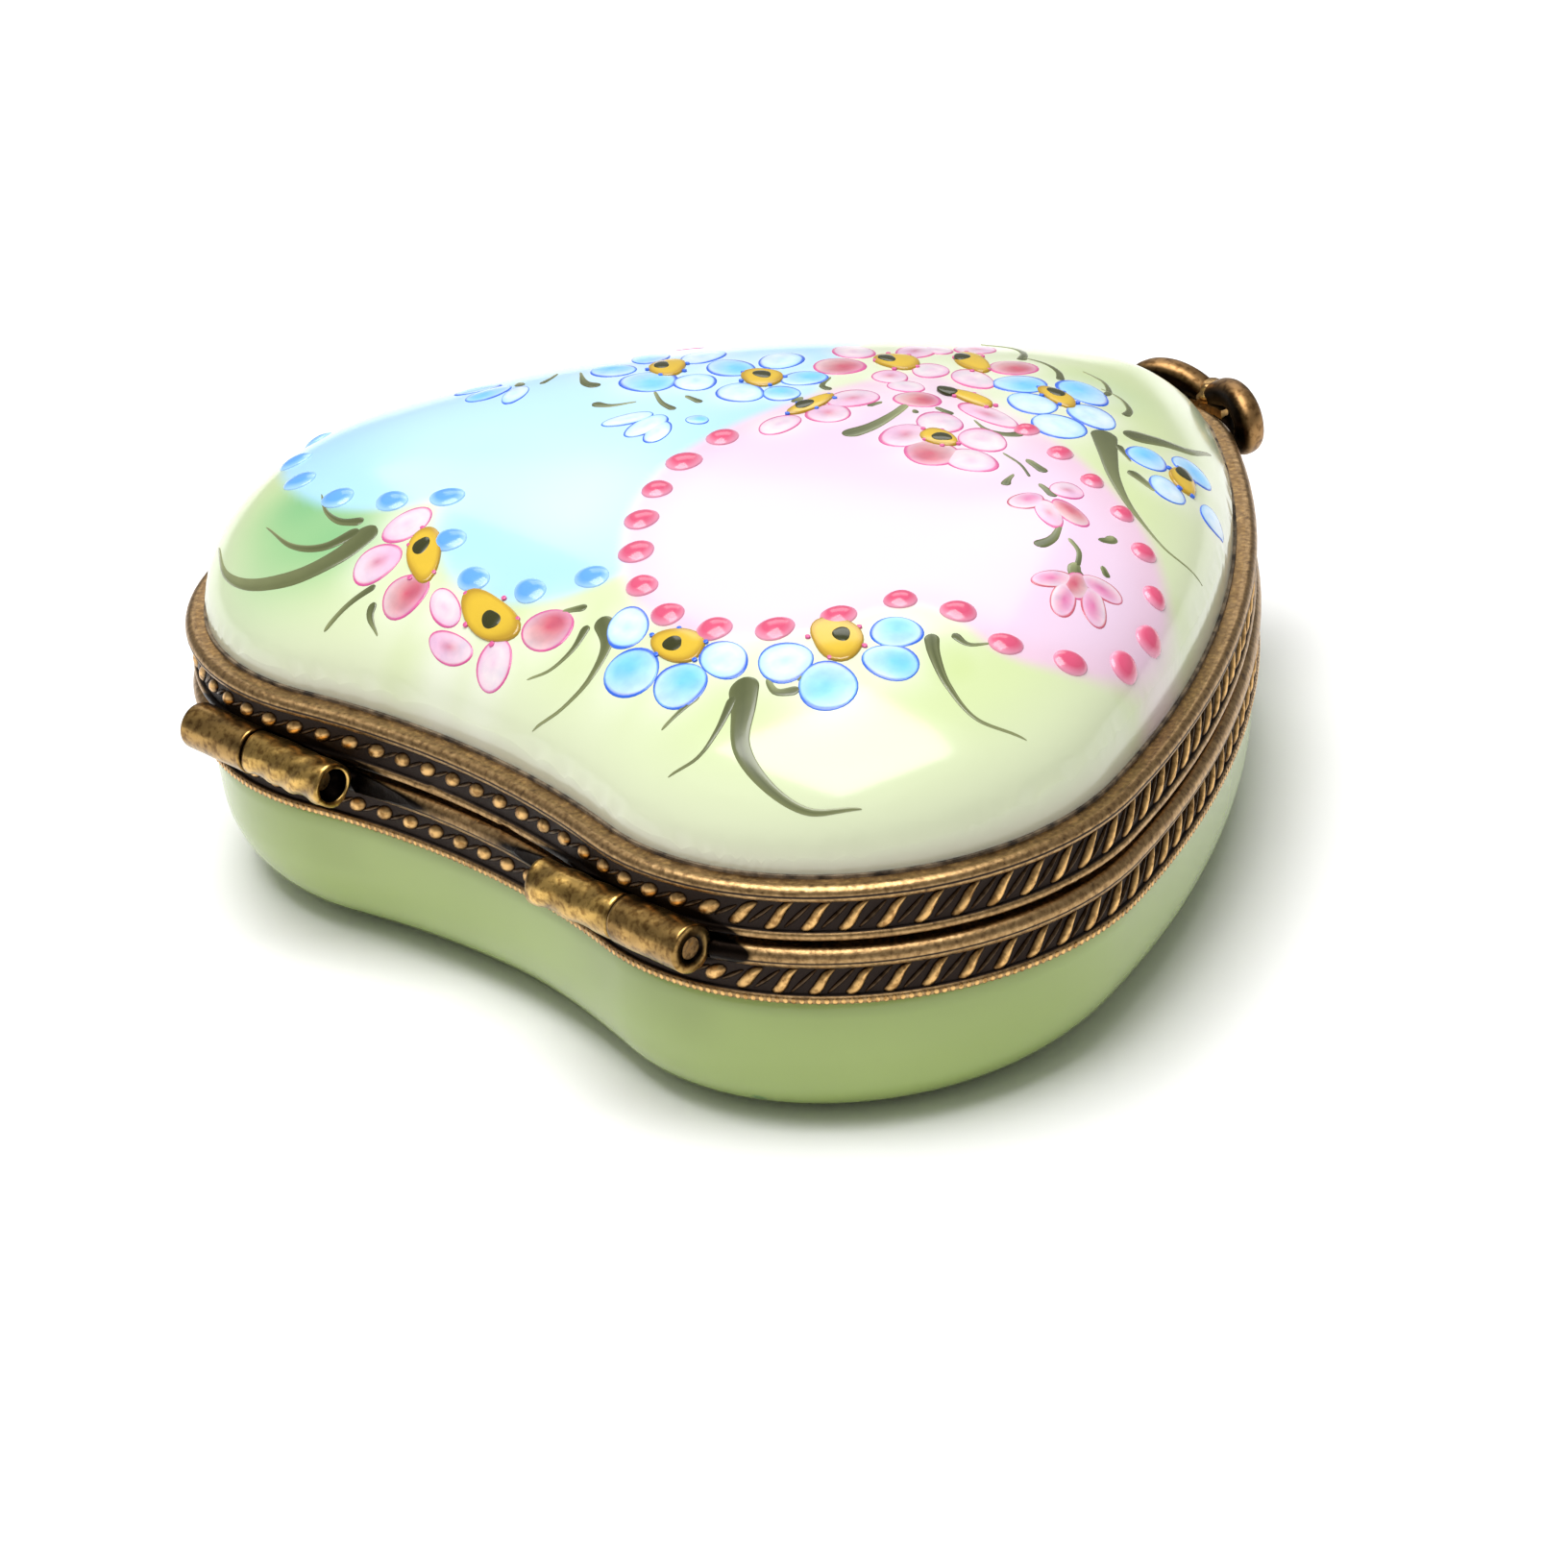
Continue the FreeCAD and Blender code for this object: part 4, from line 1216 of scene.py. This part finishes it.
LOOP_THICKNESS = 1.36
LOOP_WIDTH = 1.35
LOOP_SHADE_START, LOOP_SHADE_WIDTH = 0.25, 0.24
LOOP_STEPS = 56
# painted shade and painted light of the ribbon: near-black on its sides and inner face, lit brass on its
# outer face
LOOP_PAINTED_SHADE = linear((26, 18, 12))
LOOP_LIT_BRASS = linear((160, 124, 80))


def make_bow_loop(node, side):
    """A ribbon bent round into a teardrop, with its ends under the knot; painted shade darkens all but its
    outer face.
    """
    low, high = box_mm(node)
    knot_low, knot_high = box_mm("clasp_bow_knot")
    middle_z = (low[2] + high[2]) / 2
    half_height = (high[2] - low[2]) / 2
    root_x = side * 0.25
    tip_x = high[0] if side > 0 else low[0]
    near_y = (knot_low[1] + knot_high[1]) / 2
    far_y = high[1] - LOOP_WIDTH / 2
    section = rounded_section(LOOP_THICKNESS, LOOP_WIDTH, 20, 0.8)
    rows, colours = [], []
    for step in range(LOOP_STEPS):
        angle = 2 * math.pi * step / LOOP_STEPS
        reach = (1 - math.cos(angle)) / 2
        pinch = math.sin(angle) * (0.35 + 0.65 * reach ** 0.5)
        run = reach * (abs(tip_x) - abs(root_x) - LOOP_THICKNESS / 2)
        centre = np.array([root_x + side * run, near_y + (far_y - near_y) * reach,
                           middle_z + (half_height - LOOP_THICKNESS / 2) * pinch])
        out = np.array([-side * math.cos(angle), 0.0, math.sin(angle)])
        out /= np.linalg.norm(out)
        broad = np.array([0.0, 1.0, 0.0])
        rows.append(centre + np.outer(section[:, 0], out) + np.outer(section[:, 1], broad))
        # painted shade: only the outer face keeps the lit brass colour
        shade = smooth_step((section[:, 0] / LOOP_THICKNESS - LOOP_SHADE_START) / LOOP_SHADE_WIDTH)
        colours.append(mixed(LOOP_PAINTED_SHADE, LOOP_LIT_BRASS, shade))
    build = Build()
    build.rows(rows, colours, hollow=True)
    piece = build.piece("ribbon_" + node, RIBBON_BRASS)
    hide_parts(node)
    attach(piece, "lid")


KNOT_ROUNDING = 0.55
KNOT_SHARE = 0.95
FOLD_DEPTH, FOLD_RATE = 0.06, 9


def make_knot():
    """The barrel-shaped knot, with the folds of the ribbon round it."""
    low, high = box_mm("clasp_bow_knot")
    middle = [(a + b) / 2 for a, b in zip(low, high)]
    half_x, half_y, half_z = [(b - a) / 2 for a, b in zip(low, high)]
    rows = []
    count, segments = 26, 32
    around = circle(segments)
    for step in range(count + 1):
        angle = -math.pi / 2 + math.pi * step / count
        height = math.sin(angle)
        reach = max(math.cos(angle), 0.02) ** KNOT_ROUNDING
        groove = 1 - FOLD_DEPTH * math.cos(height * FOLD_RATE)
        size = reach * groove * KNOT_SHARE
        rows.append(np.column_stack([middle[0] + half_x * size * np.cos(around),
                                     middle[1] + half_y * size * np.sin(around),
                                     np.full(segments, middle[2] + half_z * height)]))
    build = Build()
    build.rows(rows)
    piece = build.piece("ribbon_knot", WORN_BRASS)
    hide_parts("clasp_bow_knot")
    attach(piece, "lid")


make_lid()
make_painting()
make_base()
LEAVES_START, LID_LEAVES_END, BASE_LEAVES_END = 0.45, 0.75, 1.0
make_leaves("lid_strip_leaves", "lid", lid_strip_low[2] + LEAVES_START, lid_strip_high[2] - LID_LEAVES_END)
make_leaves("base_strip_leaves", "base", strip_low[2] + LEAVES_START, strip_high[2] - BASE_LEAVES_END)
make_milling()
for side_name, side in (("left", -1), ("right", 1)):
    make_knuckle("base_knuckle_" + side_name, "base", BASE_DENTS, side)
    make_knuckle("lid_knuckle_" + side_name, "lid", LID_DENTS, side)
    make_bow_loop("clasp_bow_loop_" + side_name, side)
    dress("hinge_pin_" + side_name, HINGE_WIRE)
make_knot()
for body, strip_finish in (("base", BASE_STRIP), ("lid", LID_STRIP)):
    dress(body + "_rim_channel", PLAIN_BRASS)
    dress(body + "_gallery_strip", strip_finish)
    dress(body + "_cement", CEMENT)
for node in ("clasp_tongue", "clasp_catch_bead"):
    dress(node, WORN_BRASS)


# ---- floor, lights and camera

def make_floor():
    half = 3.0
    corners = [(-half, -half, 0), (half, -half, 0), (half, half, 0), (-half, half, 0)]
    mesh = bpy.data.meshes.new("floor")
    mesh.from_pydata(corners, [], [(0, 1, 2, 3)])
    finish = Finish("floor_paper")
    colour = finish.ramp(finish.noise(30.0, 2.0), [(0.3, grey(0.90)), (0.7, grey(0.92))])
    mesh.materials.append(finish.done({"Base Color": colour, "Roughness": 0.9}))
    floor = placed("floor", mesh)


def softbox(name, towards, distance, size, power):
    """A rectangular light that faces the dome from a direction."""
    lamp = bpy.data.lights.new(name, "AREA")
    lamp.shape = "RECTANGLE"
    lamp.size, lamp.size_y = size
    lamp.energy = power
    holder = placed(name, lamp)
    away = Vector(towards).normalized()
    target = Vector((0, 0, shell_high[2] * MM))
    holder.location = target + away * distance
    holder.rotation_euler = (-away).to_track_quat("-Z", "Y").to_euler()


def make_world(strength):
    world = bpy.data.worlds.new("studio")
    world.use_nodes = True
    background = world.node_tree.nodes["Background"]
    background.inputs["Color"].default_value = (1.0, 0.995, 0.985, 1)
    background.inputs["Strength"].default_value = strength
    bpy.context.scene.world = world


CAMERA_PLACE = Vector((-0.19642, 0.17050, 0.13650))
CAMERA_AHEAD = Vector((0.67822, -0.57335, -0.45965))
CAMERA_ROLL = -5.65
CAMERA_LENS = 144.0


def make_camera():
    data = bpy.data.cameras.new("camera")
    data.lens = CAMERA_LENS
    data.sensor_width = 36.0
    camera = placed("camera", data)
    turn = CAMERA_AHEAD.to_track_quat("-Z", "Y").to_matrix().to_4x4()
    roll = Matrix.Rotation(math.radians(CAMERA_ROLL), 4, "Z")
    camera.matrix_world = Matrix.Translation(CAMERA_PLACE) @ turn @ roll
    bpy.context.scene.camera = camera


make_floor()
make_world(strength=0.28)
softbox("overhead", (0.03, 0.14, 0.98), distance=0.55, size=(0.50, 0.40), power=4.1)
softbox("overhead_diffuser", (0.0, 0.25, 0.96), distance=0.6, size=(0.85, 0.7), power=0.9)
softbox("behind", (0.60, -0.55, 0.60), distance=0.9, size=(0.50, 0.32), power=0.9)
make_camera()
bpy.context.scene.view_settings.view_transform = "Standard"
